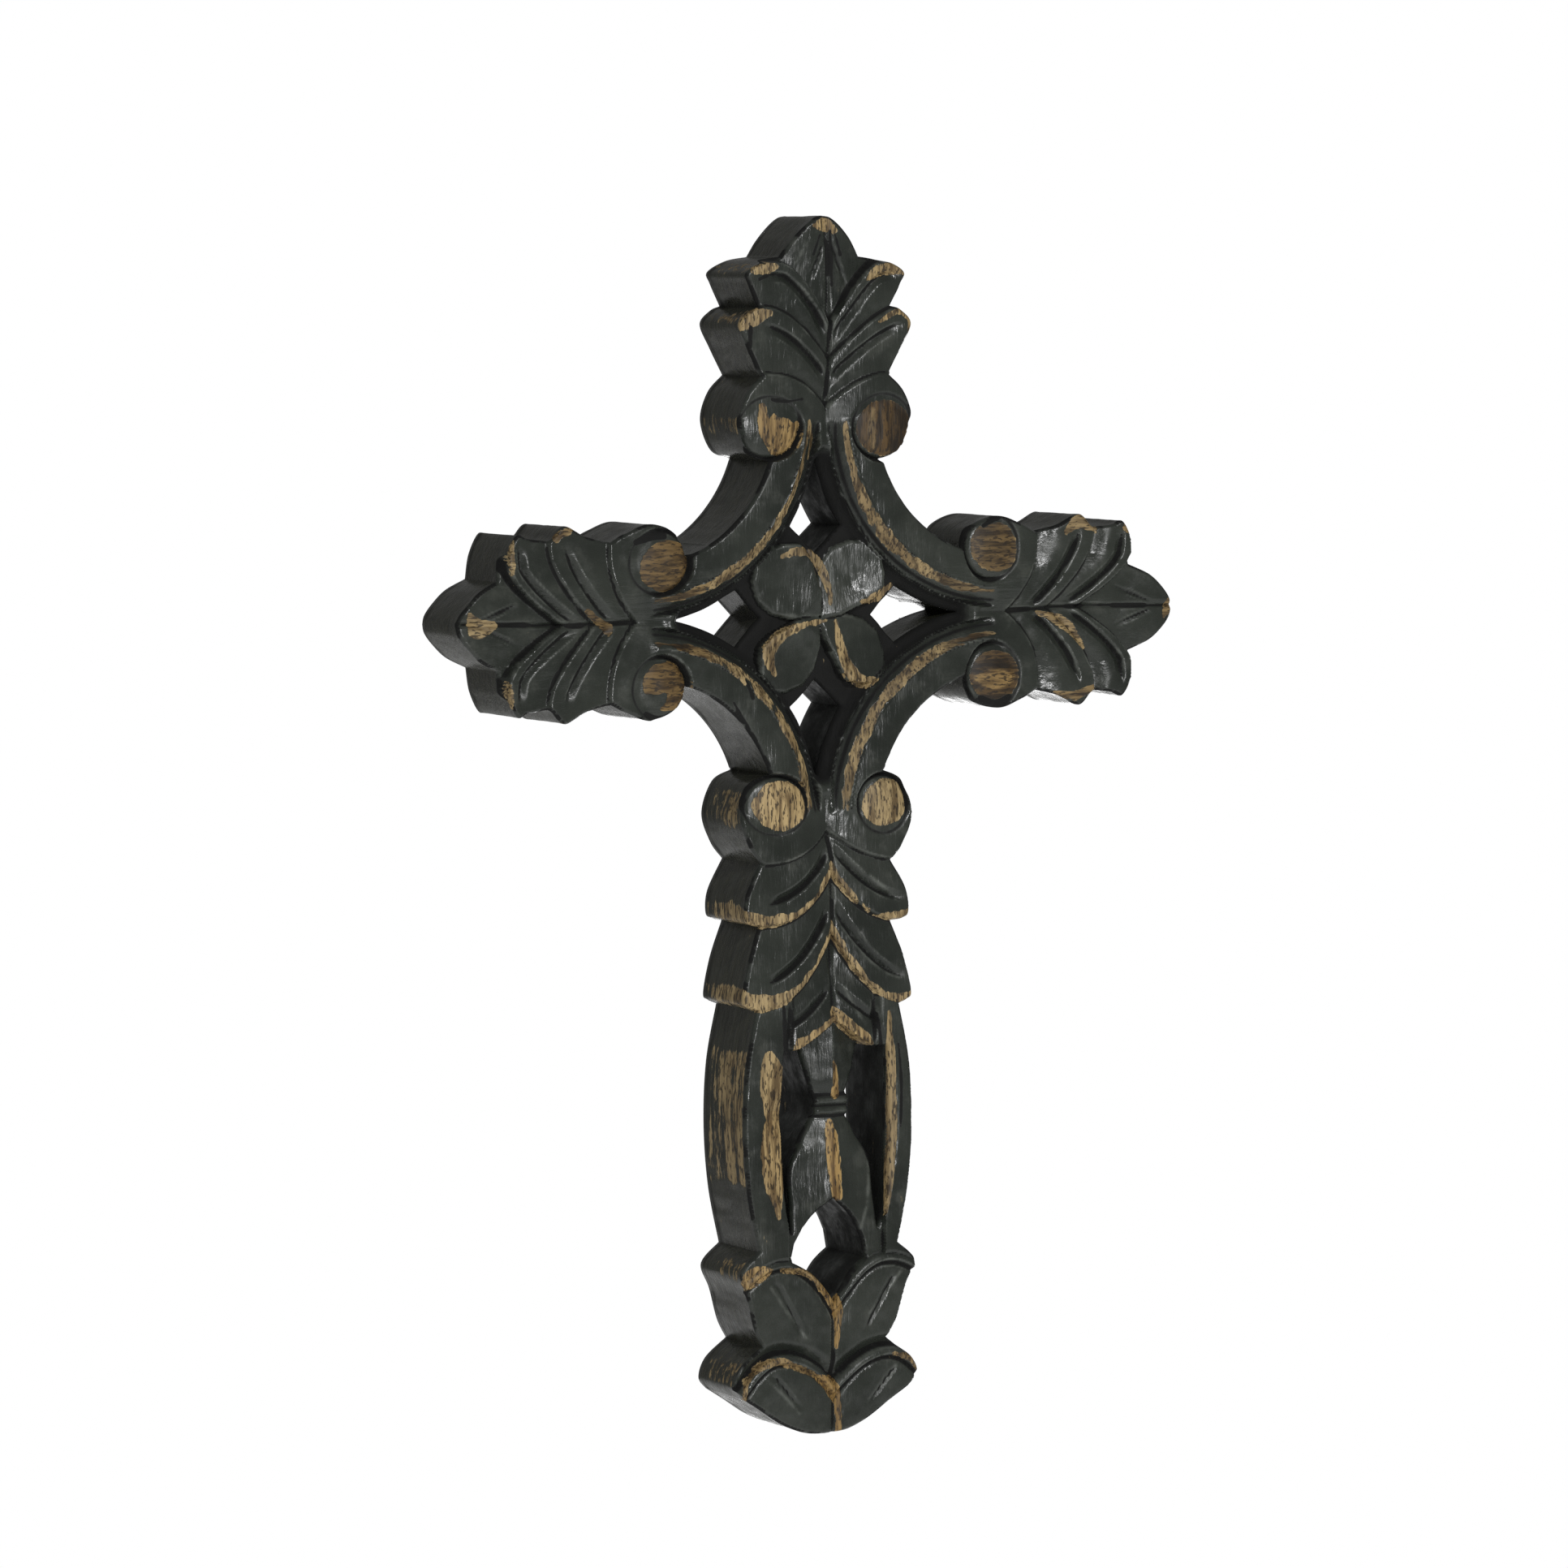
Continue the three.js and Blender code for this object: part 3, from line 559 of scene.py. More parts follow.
def tulip_face(inward, length, u, v, vein):
    """A raised lip, a cut behind it, and a face with a shallow vein that falls away below."""
    lip = 0.2 + 0.5 * np.clip(1 - inward / 1.0, 0, 1) ** 2
    face = mix(1.3, 2.3, smooth(0.2, 1.0, inward / length))
    cut = np.clip(1 - np.abs(inward - 2.3) / 0.9, 0, 1)
    depth = mix(lip, face, smooth(1.3, 2.6, inward)) + 0.8 * cut
    v0, u0, v1, u1 = vein
    along = np.clip((u - u0) / (u1 - u0), 0, 1)
    offset = (v - mix(v0, v1, along)) * 0.85
    inside = smooth(u0 - 1, u0 + 1, u) * (1 - smooth(u1 - 5, u1, u))
    depth = depth + 0.6 * np.clip(1 - np.abs(offset) / 1.0, 0, 1) * inside
    # The second value is painted shade in the cut behind the lip.
    return depth, 0.9 * cut * smooth(0, 1.5, inward)


def scroll_slope(radius, along):
    """Depth of a scroll from its plain face over its bevel: gentle at its ends, steep between."""
    ends = smooth(-0.03, 0.13, along) * (1 - smooth(0.87, 1.03, along))
    stations = [0, scroll_face, scroll_bevel, scroll_inner, opening_radius + 1]
    deep = np.interp(radius, stations, [0, 0, 1.8, 4.6, 6.0])
    shallow = np.interp(radius, stations, [0, 0, 1.1, 1.9, 2.2])
    crown = 0.4 * ((radius - 40) / 4) ** 2 * (radius < 44)
    return mix(shallow, deep, ends) + np.clip(crown, 0, 0.4)


# From the upper right leftwards: how widely each petal opens towards its high side, and its rise
# towards that side, mm per mm.
PETALS = ((1.05, 0.27), (1.25, 0.12), (1.0, 0.22), (0.85, 0.22))


def petals(x, z):
    """Depth of the four tilted petals, each high on its clockwise side, where one covers the next.

    Where there is no petal the depth is infinite.
    """
    best = np.full_like(x, np.inf)
    for quarter, (breadth, tilt) in enumerate(PETALS):
        turn = math.pi / 4 + math.pi / 2 * quarter
        ax, az = math.cos(turn), math.sin(turn)
        r = x * ax + z * az
        w = x * az - z * ax
        high = breadth * np.interp(r, [0, 4, 8, 13, 17, 20, 22], [1.0, 3.6, 5.0, 7.0, 7.2, 5.0, 2.5])
        low = np.interp(r, [0, 5, 10, 15, 20, 23], [1, 6, 9, 9.5, 7, 3])
        inside = np.minimum(high - w, low + w)
        dish = 0.6 * np.exp(-((r - 12) / 6.0) ** 2 - (w / 5.0) ** 2)
        depth = petal_depth - tilt * w + dish + 1.0 * np.clip(1 - inside / 1.2, 0, 1) ** 2
        depth = depth + 0.9 * np.clip(1 - r / 4, 0, 1)
        best = np.where((inside > 0) & (r > 0.1) & (depth < best), depth, best)
    return best


# How much of each scroll's bevel is bare, from its end on the upright to its end on the arm.
BEVEL_STATIONS = [0, 0.1, 0.2, 0.35, 0.6, 0.82, 0.92, 1]
BARE_BEVELS = {
    (-1, 1): [0.1, 0.35, 0.55, 0.85, 1, 0.8, 0.4, 0.25],
    (1, 1): [0.35, 0.3, 0.55, 1, 1, 0.85, 0.5, 0.1],
    (-1, -1): [0.85, 1, 1, 1, 1, 0.8, 0.45, 0.3],
    (1, -1): [0.6, 0.75, 0.9, 1, 1, 0.8, 0.4, 0.1],
}


def middle(carving, u):
    """Scrolls, petals and the sunken ground between them, for everything within the volutes."""
    x, z = carving.x, carving.z
    radius = np.hypot(np.abs(x) - scroll_centre, np.abs(z) - scroll_centre)
    angle = np.arctan2(scroll_centre - np.abs(z), scroll_centre - np.abs(x))
    along = np.clip(angle / (math.pi / 2), -0.2, 1.2)
    within = 1 - smooth(47.5, 50, u)
    curl = 1 - smooth(scroll_inner - 0.3, scroll_inner + 0.5, radius)
    carving.lay(within * curl, scroll_slope(radius, along))
    between = (1 - smooth(38.5, 44, u)) * (1 - curl)
    flower = petals(x, z)
    ground = middle_depth + 0.5 * noise(x, z, 3.5, 4)
    on_petal = np.isfinite(flower).astype(float)
    floor = np.where(np.isfinite(flower), np.minimum(flower, ground), ground)
    foot = np.maximum(scroll_slope(radius, 0.5 + 0 * x), 0)
    carving.lay(between, mix(floor, np.minimum(floor, foot), 1 - smooth(49, 52, radius)))
    # Painted shade over the sunken ground round the petals.
    carving.blacken(between * (1 - on_petal) * 0.8)
    rub_bevels(carving, within, radius, along)
    # Painted shade where the bevel turns into the steeper slope.
    carving.blacken(within * bump(radius, scroll_bevel + 1.0, 0.8) * 0.6)


def rub_bevels(carving, within, radius, along):
    """Bares a ragged band down each scroll's bevel, darker on the arms than on the upright."""
    x, z = carving.x, carving.z
    band_radius = scroll_face + 1.35
    ragged = 0.5 * noise(x, z, 6, 21) + 0.6 * noise(x, z, 1.8, 22)
    on_arm = smooth(seam_x - 0.2, seam_x + 0.2, np.abs(x))
    ends = smooth(-0.06, 0.02, along)
    for (sign_x, sign_z), shares in BARE_BEVELS.items():
        share = np.interp(along, BEVEL_STATIONS, shares) * (x * sign_x > 0) * (z * sign_z > 0)
        half = 1.3 * share + 0.4 * ragged
        band = 1 - smooth(half - 0.4, half + 0.6, np.abs(radius - band_radius))
        band = band * ends * (1 - smooth(0.98, 1.06, along))
        dark = 0.42 + 0.4 * (1 - share) + 0.15 * on_arm + 0.35 * noise(x, z, 5, 23)
        band = band * np.clip(0.85 + 0.35 * noise(x, z, 3.5, 24), 0, 1)
        amount = within * band * smooth(0.05, 0.3, share)
        carving.rub(amount, 0.15 + 0.3 * on_arm * (x < 0), np.clip(dark, 0, 1))


# The eight eyes: (x, z, radius along x, radius along z).
EYES = [
    (-16.0, 47.5, 8.3, 7.4), (15.9, 47.3, 8.0, 7.9), (-14.6, -46.6, 8.6, 7.0), (15.8, -47.2, 6.7, 7.0),
    (-46.9, 14.8, 8.2, 7.6), (-46.9, -16.4, 7.5, 7.5), (47.2, 16.4, 7.2, 7.8), (47.6, -15.9, 7.2, 7.8),
]


def eyes(carving):
    """The domed ends of the volutes, each in a moat that is deep only towards the crossing."""
    for x, z, rx, rz in EYES:
        dx, dz = (carving.x - x) / rx, (carving.z - z) / rz
        r = np.hypot(dx, dz)
        gap = (r - 1) * math.sqrt(rx * rz)
        inward = -(dx * np.sign(x) if abs(x) > abs(z) else dz * np.sign(z)) / np.maximum(r, 0.01)
        inner_side = smooth(-0.65, 0.35, inward)
        dome = 2.5 * (1 - np.sqrt(np.clip(1 - (r * 0.94) ** 2, 0, 1)))
        dome = 0.2 + dome * mix(0.6, 1, inner_side)
        moat = mix(0.7, 3.0, inner_side)
        inside = 1 - smooth(-0.35, 0.35, gap)
        ring = 1 - smooth(0.25, 1.25, gap)
        base = np.maximum(carving.depth, moat)
        carving.depth = mix(carving.depth, base, ring)
        carving.depth = mix(carving.depth, np.minimum(dome, base), inside)
        carving.wear = mix(carving.wear, 0, ring)
        carving.moat = np.maximum(carving.moat, bump(gap, 0.55, 0.8) * mix(0.6, 1, inner_side))
        # Painted shade in the moat, darker on its deep side towards the crossing.
        carving.blacken(bump(gap, 0.4, 0.9) * mix(0.45, 1, inner_side))


# The upper limb and the arms: reach, middle line, black stretches and depths at the root, as
# terminal() takes them.
TERMINALS = {
    "top": (top_reach, [(50, 0.6), (60, 1.3), (76, 2.2), (90, 1.4), (99, 0.4)],
            [(54, 62.5), (68, 76), (84, 95)], (1.8, 1.5)),
    "left": (arm_reach, [(50, 0.2), (70, -0.3), (99, 0.8)],
             [(53, 62), (66, 73), (81, 93)], (1.8, 1.5)),
    "right": (arm_reach, [(50, 0.0), (70, 0.8), (99, 0.4)],
              [(52, 61), (69, 77), (83, 95)], (1.7, 3.0)),
}


def relief(x, z, rim_distance):
    """The whole carved front. rim_distance is each point's distance from the nearest edge."""
    carving = Carving(x, z)
    ax, az = np.abs(x), np.abs(z)
    upright_part = az >= ax
    terminal(carving, upright_part & (z > 0), z, x, *TERMINALS["top"])
    terminal(carving, ~upright_part & (x <= 0), -x, z, *TERMINALS["left"])
    terminal(carving, ~upright_part & (x > 0), x, z, *TERMINALS["right"])
    post(carving, upright_part & (z <= 0), -z, x)
    middle(carving, np.maximum(ax, az))
    eyes(carving)
    inward = np.clip(1 - rim_distance / arris, 0, 1)
    carving.depth = carving.depth + arris * (1 - np.sqrt(np.clip(1 - inward**2, 0, 1)))
    carving.depth = carving.depth + 0.12 * (1 + noise(x, z, 9, 11)) + 0.09 * (1 + noise(x, z, 2.4, 12))
    return carving


# ---- Ageing ---------------------------------------------------------------------------------------------

# Each stroke is a few (x, z, width) in millimetres, placed as they look from the photograph's side.
# Bare strokes end with their gold and umber tones.
BARE_STROKES = [
    # upper limb: tip, then both lobes left and right
    ([(-3.6, 97.8, 1.8), (-0.8, 98, 3.4), (1.4, 96.4, 2.0)], 0.25, 0.15),
    ([(-21.5, 86.6, 1.4), (-18, 87, 3.0), (-14.8, 87.4, 1.6)], 0.1, 0.3),
    ([(10.8, 84, 0.8), (14, 86.3, 2.4), (19, 86.9, 3.2), (22.4, 86, 1.2)], 0.2, 0.25),
    ([(-24.4, 73.6, 3.6), (-21, 75, 4.4), (-16.6, 76, 1.4)], 0.1, 0.35),
    ([(14.5, 73.6, 0.7), (20, 76.2, 1.7), (23.4, 74.8, 2.6), (23.4, 71.2, 1.8)], 0.3, 0.25),
    ([(-5.6, 49, 0.7), (-5, 45, 0.9), (-6, 40, 0.8)], 0.1, 0.5),
    # upper eyes
    ([(-18.8, 53, 1.8), (-17.6, 47, 4.2), (-15, 43.4, 5.2)], 0.6, 0.3),
    ([(-14.2, 48, 6.6), (-12.4, 45, 8.6), (-9.6, 46.4, 5.6)], 0.6, 0.3),
    ([(11.2, 46.8, 7.0), (15.8, 47.2, 14.0), (20.8, 46.2, 7.0)], 0.4, 1.0),
    ([(12.6, 51.5, 0.8), (12.2, 47, 1.6), (12.8, 42.6, 0.8)], 0.2, 0.7),
    # lower eyes
    ([(-18.7, -46.2, 6.4), (-14.2, -46.6, 12.6), (-10.4, -47.4, 7.6)], 0.25, 0.0),
    ([(12.6, -47.6, 6.5), (15.8, -46.8, 11.8), (18, -45.4, 7.0)], 0.12, 0.1),
    # eyes of the arms
    ([(-49.8, 12.6, 6.4), (-46, 14, 12.4), (-42.4, 15.2, 8.0)], 0.7, 0.8),
    ([(-49.8, -13.8, 4.0), (-45.8, -15.6, 12.0), (-42.4, -16, 8.0)], 0.8, 0.75),
    ([(43.8, 17.4, 6.4), (47.4, 16.8, 12.4), (50.4, 14.4, 7.0)], 0.4, 0.85),
    ([(43.8, -15.4, 7.0), (47.6, -16, 13.0), (51, -15.6, 7.0)], 0.5, 1.0),
    ([(42.6, -16.4, 1.4), (47.4, -17, 4.4), (52.4, -16.4, 2.2)], 0.75, 0.5),
    # left arm: tip, lobes, the apex of the second row
    ([(-99.6, 3.2, 1.6), (-97.6, 0, 4.8), (-93.4, 0.4, 2.2)], 0.1, 0.35),
    ([(-88.8, 21.6, 2.2), (-88.2, 17, 2.0), (-87.8, 13, 0.9)], 0.1, 0.2),
    ([(-76, 21.6, 2.6), (-72.4, 23.4, 1.8)], 0.35, 0.45),
    ([(-90, -13, 1.2), (-89, -16, 2.2), (-88.6, -20, 1.2)], 0.2, 0.3),
    ([(-67.4, 3.2, 1.8), (-62, -1.2, 2.8)], 0.35, 0.7),
    # right arm
    ([(68.6, 20, 1.6), (73, 22.6, 3.8), (77, 20.4, 1.6)], 0.25, 0.45),
    ([(60, -0.2, 1.0), (66, -2.2, 2.6), (70, -5, 2.6), (73.4, -9.5, 1.1)], 0.3, 0.35),
    ([(65, -21, 0.9), (71, -21.8, 2.2), (76.4, -20, 1.4)], 0.4, 0.6),
    ([(89.8, -11, 0.8), (89.8, -16, 2.2), (87.4, -20.6, 1.6)], 0.4, 0.6),
    ([(86.2, 20.8, 1.8), (89.8, 18, 2.0), (89.6, 14.4, 0.9)], 0.4, 0.55),
    ([(100.2, 3.6, 0.8), (99, 0.2, 3.2), (97.6, -2.4, 1.0)], 0.4, 0.5),
    # petals
    ([(0.5, 3.6, 0.8), (0, 7, 1.6), (-2, 12, 2.4), (-5.2, 16, 2.4), (-9, 16.8, 2.0), (-13.4, 15.6, 0.9)],
     0.15, 0.45),
    ([(-1, -0.6, 0.8), (-8, -1.8, 1.7), (-14, -4.4, 3.0), (-17, -8.4, 3.6), (-15.6, -13.6, 1.4)], 0.15, 0.25),
    ([(1.8, -1, 1.0), (3, -6, 2.2), (5.2, -12, 3.2), (8.6, -16, 3.6), (13.4, -16, 1.4)], 0.15, 0.2),
    ([(9.6, 3.8, 0.9), (14, 5.2, 2.0), (17.6, 8, 1.2)], 0.3, 0.35),
    # openwork: bars, bud and swallowtail leaf
    ([(-17.4, -109.4, 2.6), (-16.6, -113, 6.2), (-16.8, -119, 5.6), (-16.4, -125.6, 3.6)], 0.2, 0.1),
    ([(-16.4, -125, 3.6), (-16.4, -131, 6.8), (-16, -140, 6.0), (-14.8, -149.8, 1.4)], 0.35, 0.05),
    ([(17, -100, 0.8), (17.2, -112, 2.8), (17.4, -130, 3.2), (16.6, -143, 2.8), (15.8, -151, 0.9)],
     0.15, 0.4),
    ([(1, -111.5, 0.6), (1.5, -116, 1.5), (1.3, -120, 1.9)], 0.7, 0.15),
    ([(-0.2, -127.4, 2.4), (0.4, -132, 3.4), (1.2, -139, 3.4), (2, -145.6, 2.6)], 0.75, 0.1),
    # tulips
    ([(-24.6, -166.8, 1.8), (-22, -164.6, 5.0), (-17, -163.2, 1.4)], 0.55, 0.2),
    ([(-14, -163.4, 1.0), (-6, -164.9, 2.2), (-2, -168.6, 2.8)], 0.4, 0.35),
    ([(-2, -168.6, 2.8), (1.4, -173, 3.6), (2, -178, 2.2), (1.6, -184, 1.2)], 0.8, 0.3),
    ([(-24.6, -195.4, 1.0), (-24, -191, 1.7), (-20, -187.4, 1.9), (-14, -186.6, 1.9),
      (-5, -190.4, 1.9)], 0.4, 0.45),
    ([(-4, -191, 1.8), (0, -194, 3.8), (2, -199, 2.2), (2, -205.6, 1.6)], 0.8, 0.35),
    ([(18, -186.6, 0.8), (23, -188.2, 1.8), (25.4, -192, 1.6)], 0.3, 0.6),
]

# Cuts and scratches filled with black.
BLACK_STROKES = [
    [(0.5, 96.4, 0.5), (0.7, 90, 0.9), (0.9, 83, 0.5)],
    [(-2.4, 95.4, 0.4), (-4.2, 90.6, 0.9)],
    [(1.8, 95.8, 0.4), (3.4, 90.6, 0.8)],
    [(-22, 72.6, 1.0), (-22.2, 65.6, 0.6)],
    [(-19.4, 84.4, 0.9), (-17.4, 85.2, 0.9)],
    [(-16, 54.6, 0.8), (-12, 54, 0.7), (-7.6, 54.6, 0.5)],
    [(-54, 20, 1.4), (-50, 21.4, 2.2), (-46.4, 21.4, 1.4)],
    [(-51.5, -22.6, 1.4), (-47, -24, 1.6), (-43, -22.4, 1.0)],
    [(43.4, -21.6, 1.4), (47.6, -23.4, 2.4), (51.6, -21.4, 1.2)],
    [(44.4, 22, 1.0), (48.4, 24, 1.4)],
    [(-27, -20.4, 0.5), (-21.4, -30, 0.9), (-17.6, -37.6, 0.5)],
    [(-23.6, -14.8, 0.4), (-21.6, -19.4, 0.8)],
    [(-13.2, -97, 0.5), (-12.8, -103, 1.2), (-12.6, -109, 0.8)],
    [(-11, -98, 0.4), (-10.6, -103, 0.9), (-11, -107, 0.5)],
    [(13.2, -100, 0.5), (14.4, -106, 0.9), (14.8, -113, 0.5)],
    [(19.6, -108, 0.4), (20.4, -118, 0.7), (20.2, -129, 0.5)],
]

# Grey paint left within bare places.
PAINTED_STROKES = [
    [(-52.4, -19.2, 3.4), (-48.4, -19.6, 3.6), (-46.4, -18, 1.8)],
    [(-9.2, 51.4, 3.0), (-13.6, 51.6, 3.2)],
]

# Painted highlights: pale lines where ridges catch the light, along the veins on the right and on the
# swallowtail, tulips, petals and tip.
HIGHLIGHT_STROKES = [
    [(6, -61, 0.4), (12, -65.6, 0.7), (19, -71, 0.4)],
    [(4, -78, 0.4), (8, -83, 0.7), (14, -88.4, 0.7), (20, -91.4, 0.4)],
    [(4, -93, 0.6), (7, -98, 0.9), (10, -102.4, 0.5)],
    [(10.9, -133, 0.4), (10.6, -147, 0.7), (8.6, -154, 0.5)],
    [(20, -166, 0.5), (16, -171, 0.8), (11, -176, 0.4)],
    [(18.6, -190, 0.5), (15, -194, 0.7), (11, -197.6, 0.4)],
    [(-17, -167.6, 0.4), (-12, -174.6, 0.7), (-7, -181, 0.4)],
    [(-18, -191, 0.4), (-12.6, -196, 0.6), (-9, -200, 0.4)],
    [(-17.6, 1, 0.5), (-9, 0.9, 0.7), (-1, 0.6, 0.5)],
    [(0.4, 14, 0.4), (0.8, 7, 0.6), (0.6, 1, 0.5)],
    [(-9.4, 88.6, 0.5), (-6.6, 92.6, 0.8), (-3.6, 96, 0.5)],
]


def stroke(x, z, points, soft=0.45):
    """How fully a tapering stroke covers each place, from 0 to 1."""
    line = bow(points, 1.2)
    half = line[:, 2].max() / 2 + 1.5
    low, high = line[:, :2].min(0) - half, line[:, :2].max(0) + half
    near = np.nonzero((x > low[0]) & (x < high[0]) & (z > low[1]) & (z < high[1]))[0]
    place = np.stack([x[near], z[near]], 1)
    gap = np.full(len(near), 9.0)
    for start, end in zip(line[:-1], line[1:]):
        way = end[:2] - start[:2]
        t = np.clip((place - start[:2]) @ way / max(way @ way, 1e-9), 0, 1)
        away = np.linalg.norm(place - start[:2] - t[:, None] * way, axis=1)
        gap = np.minimum(gap, away - mix(start[2], end[2], t) / 2)
    cover = np.zeros_like(x)
    cover[near] = 1 - smooth(-soft, soft, gap + 0.18 * noise(x[near], z[near], 1.6, 71))
    return cover


def age(carving):
    """Rubs and blackens the front with strokes and paints highlights with them, once its depth is final."""
    x, z = carving.x + seen_x * carving.depth, carving.z + seen_z * carving.depth
    for points, gold, umber in BARE_STROKES:
        carving.rub(stroke(x, z, points, 0.6) * (1 - carving.moat), gold, umber)
    for points in PAINTED_STROKES:
        carving.wear = carving.wear * (1 - stroke(x, z, points))
    for points in BLACK_STROKES:
        cover = stroke(x, z, points)
        carving.wear = carving.wear * (1 - cover)
        carving.blacken(cover)
    # Painted highlights.
    for points in HIGHLIGHT_STROKES:
        carving.painted_highlight = np.maximum(carving.painted_highlight, stroke(x, z, points))


def age_by_shape(carving, points, faces, rim_distance):
    """Paints shade into hollows and highlights onto ridges, and draws broken black lines along the outline.
    """
    bend = np.zeros(len(points))
    count = np.zeros(len(points))
    for i, j in ((0, 1), (1, 2), (2, 0), (1, 0), (2, 1), (0, 2)):
        np.add.at(bend, faces[:, i], carving.depth[faces[:, j]] - carving.depth[faces[:, i]])
        np.add.at(count, faces[:, i], 1)
    bend = bend / np.maximum(count, 1)
    open_front = smooth(0.9, 1.6, rim_distance)
    broken = smooth(-0.35, 0.35, noise(*points.T, 3.2, 61))
    # Painted shade in hollows.
    carving.blacken(smooth(0.03, 0.16, -bend) * open_front * mix(0.5, 1, broken))
    # Painted highlights on ridges.
    ridge_highlight = smooth(0.03, 0.13, bend) * open_front * mix(0.25, 0.8, 1 - broken)
    carving.painted_highlight = np.maximum(carving.painted_highlight, ridge_highlight)
    line = bump(rim_distance, 0.25, 0.55) * smooth(-0.5, 0.2, noise(*points.T, 2.6, 62))
    carving.blacken(0.9 * line * (1 - smooth(0.3, 0.6, carving.wear)))


# ---- Meshes -------------------------------------------------------------------------------------------

def inside_polygon(points, polygon):
    """Which points lie inside a closed polygon."""
    result = np.zeros(len(points), bool)
    low, high = polygon.min(0), polygon.max(0)
    near = np.nonzero(((points >= low) & (points <= high)).all(1))[0]
    following = np.roll(polygon, -1, 0)
    block_size = 4000  # points at a time, to keep the tables small
    for start in range(0, len(near), block_size):
        block = near[start:start + block_size]
        px, pz = points[block, 0][:, None], points[block, 1][:, None]
        (ax, az), (bx, bz) = polygon.T, following.T
        crosses = (az > pz) != (bz > pz)
        with np.errstate(divide="ignore", invalid="ignore"):
            at = ax + (pz - az) * (bx - ax) / (bz - az)
        result[block] = (crosses & (px < at)).sum(1) % 2 == 1
    return result


def edge_distance(points, loops):
    """Distance of each point from the nearest side of the loops."""
    starts = np.vstack(loops)
    ends = np.vstack([np.roll(loop, -1, 0) for loop in loops])
    befores = np.vstack([np.roll(loop, 1, 0) for loop in loops])
    tree = KDTree(len(starts))
    for i, (x, z) in enumerate(starts):
        tree.insert((x, z, 0), i)
    tree.balance()
    nearest = np.array([tree.find((x, z, 0))[1] for x, z in points])

    def to_segment(a, b):
        along = b - a
        t = ((points - a) * along).sum(1) / np.maximum((along**2).sum(1), 1e-12)
        return np.linalg.norm(points - (a + along * np.clip(t, 0, 1)[:, None]), axis=1)

    return np.minimum(to_segment(starts[nearest], ends[nearest]),
                      to_segment(befores[nearest], starts[nearest]))


def hex_grid(low, high, pitch):
    step = pitch * math.sqrt(3) / 2
    x, z = np.meshgrid(np.arange(low[0], high[0], pitch), np.arange(low[1], high[1], step))
    x = x + (np.arange(len(x)) % 2 * pitch / 2)[:, None]
    return np.stack([x.ravel(), z.ravel()], 1)


def triangulate(loops, extra=(), lines=(), keep=None):
    """Triangles over loops, extra points and open lines. Returns the points and the kept triangles."""
    points = list(loops) + list(lines) + ([extra] if len(extra) else [])
    fixed = []
    at = 0
    for loop in loops:
        fixed += [(at + i, at + (i + 1) % len(loop)) for i in range(len(loop))]
        at += len(loop)
    for line in lines:
        fixed += [(at + i, at + i + 1) for i in range(len(line) - 1)]
        at += len(line)
    flat = np.vstack(points)
    out = delaunay_2d_cdt([Vector(p) for p in flat], fixed, [], 0, 1e-7)
    points = np.array(out[0])
    faces = np.array(out[2])
    return points, faces[keep(points[faces].mean(1))]


def carved_sheet():
    """The whole cross's front as triangles in (x, z), divided at the two seams."""
    outer = cross_outline()
    holes = through_openings()
    loops = [outer] + holes
    grid = hex_grid(outer.min(0), outer.max(0), grid_pitch)
    grid = grid + 0.02 * np.stack([noise(*grid.T, 1.1, 1), noise(*grid.T, 1.1, 2)], 1)
    grid = grid[inside_polygon(grid, outer)]
    margin = 0.6 * grid_pitch
    grid = grid[edge_distance(grid, loops) > margin]
    grid = grid[np.abs(np.abs(grid[:, 0]) - seam_x) > margin]
    for hole in holes:
        grid = grid[~inside_polygon(grid, hole)]
    seam_reach = 24  # a little past the outline
    height = np.arange(-seam_reach, seam_reach + 0.1, spacing)
    seams = [np.stack([np.full_like(height, side * seam_x), height], 1) for side in (1, -1)]

    def solid(centres):
        kept = inside_polygon(centres, outer)
        for hole in holes:
            kept &= ~inside_polygon(centres, hole)
        return kept

    points, faces = triangulate(loops, grid, seams, solid)
    return points, faces, edge_distance(points, loops)


def boundary_loops(faces):
    """The closed loops of edges that only one triangle uses, each running as its triangle does."""
    sides = np.vstack([faces[:, [0, 1]], faces[:, [1, 2]], faces[:, [2, 0]]])
    present = set(map(tuple, sides))
    following = {a: b for a, b in present if (b, a) not in present}
    loops = []
    while following:
        start, at = following.popitem()
        loop = [start]
        while at != start:
            loop.append(at)
            at = following.pop(at)
        loops.append(loop)
    return loops


class Shell:
    """A mesh under construction: points in millimetres with their masks, and faces."""

    def __init__(self):
        self.points, self.masks, self.faces, self.count = [], [], [], 0

    def add(self, x, y, z, masks):
        """Adds points and returns their numbers."""
        x, y, z = np.broadcast_arrays(np.asarray(x, float), y, z)
        self.points.append(np.stack([x, y, z], 1))
        self.masks.append(masks)
        self.count += len(x)
        return np.arange(self.count - len(x), self.count)

    def band(self, upper, lower):
        """Quads between two closed rings of points."""
        a, b = np.asarray(upper), np.asarray(lower)
        self.faces += np.stack([a, b, np.roll(b, -1), np.roll(a, -1)], 1).tolist()

    def mesh(self, name):
        return masked_mesh(name, np.vstack(self.points), self.faces, np.vstack(self.masks))


def masked_mesh(name, points, faces, masks):
    """A mesh from points in millimetres, with one point attribute for each mask."""
    data = bpy.data.meshes.new(name)
    data.from_pydata((points * MM).tolist(), [], faces)
    for mask, values in zip(MASKS, masks.T):
        attribute = data.attributes.new(mask, "FLOAT", "POINT")
        attribute.data.foreach_set("value", values.astype(np.float32))
    return data


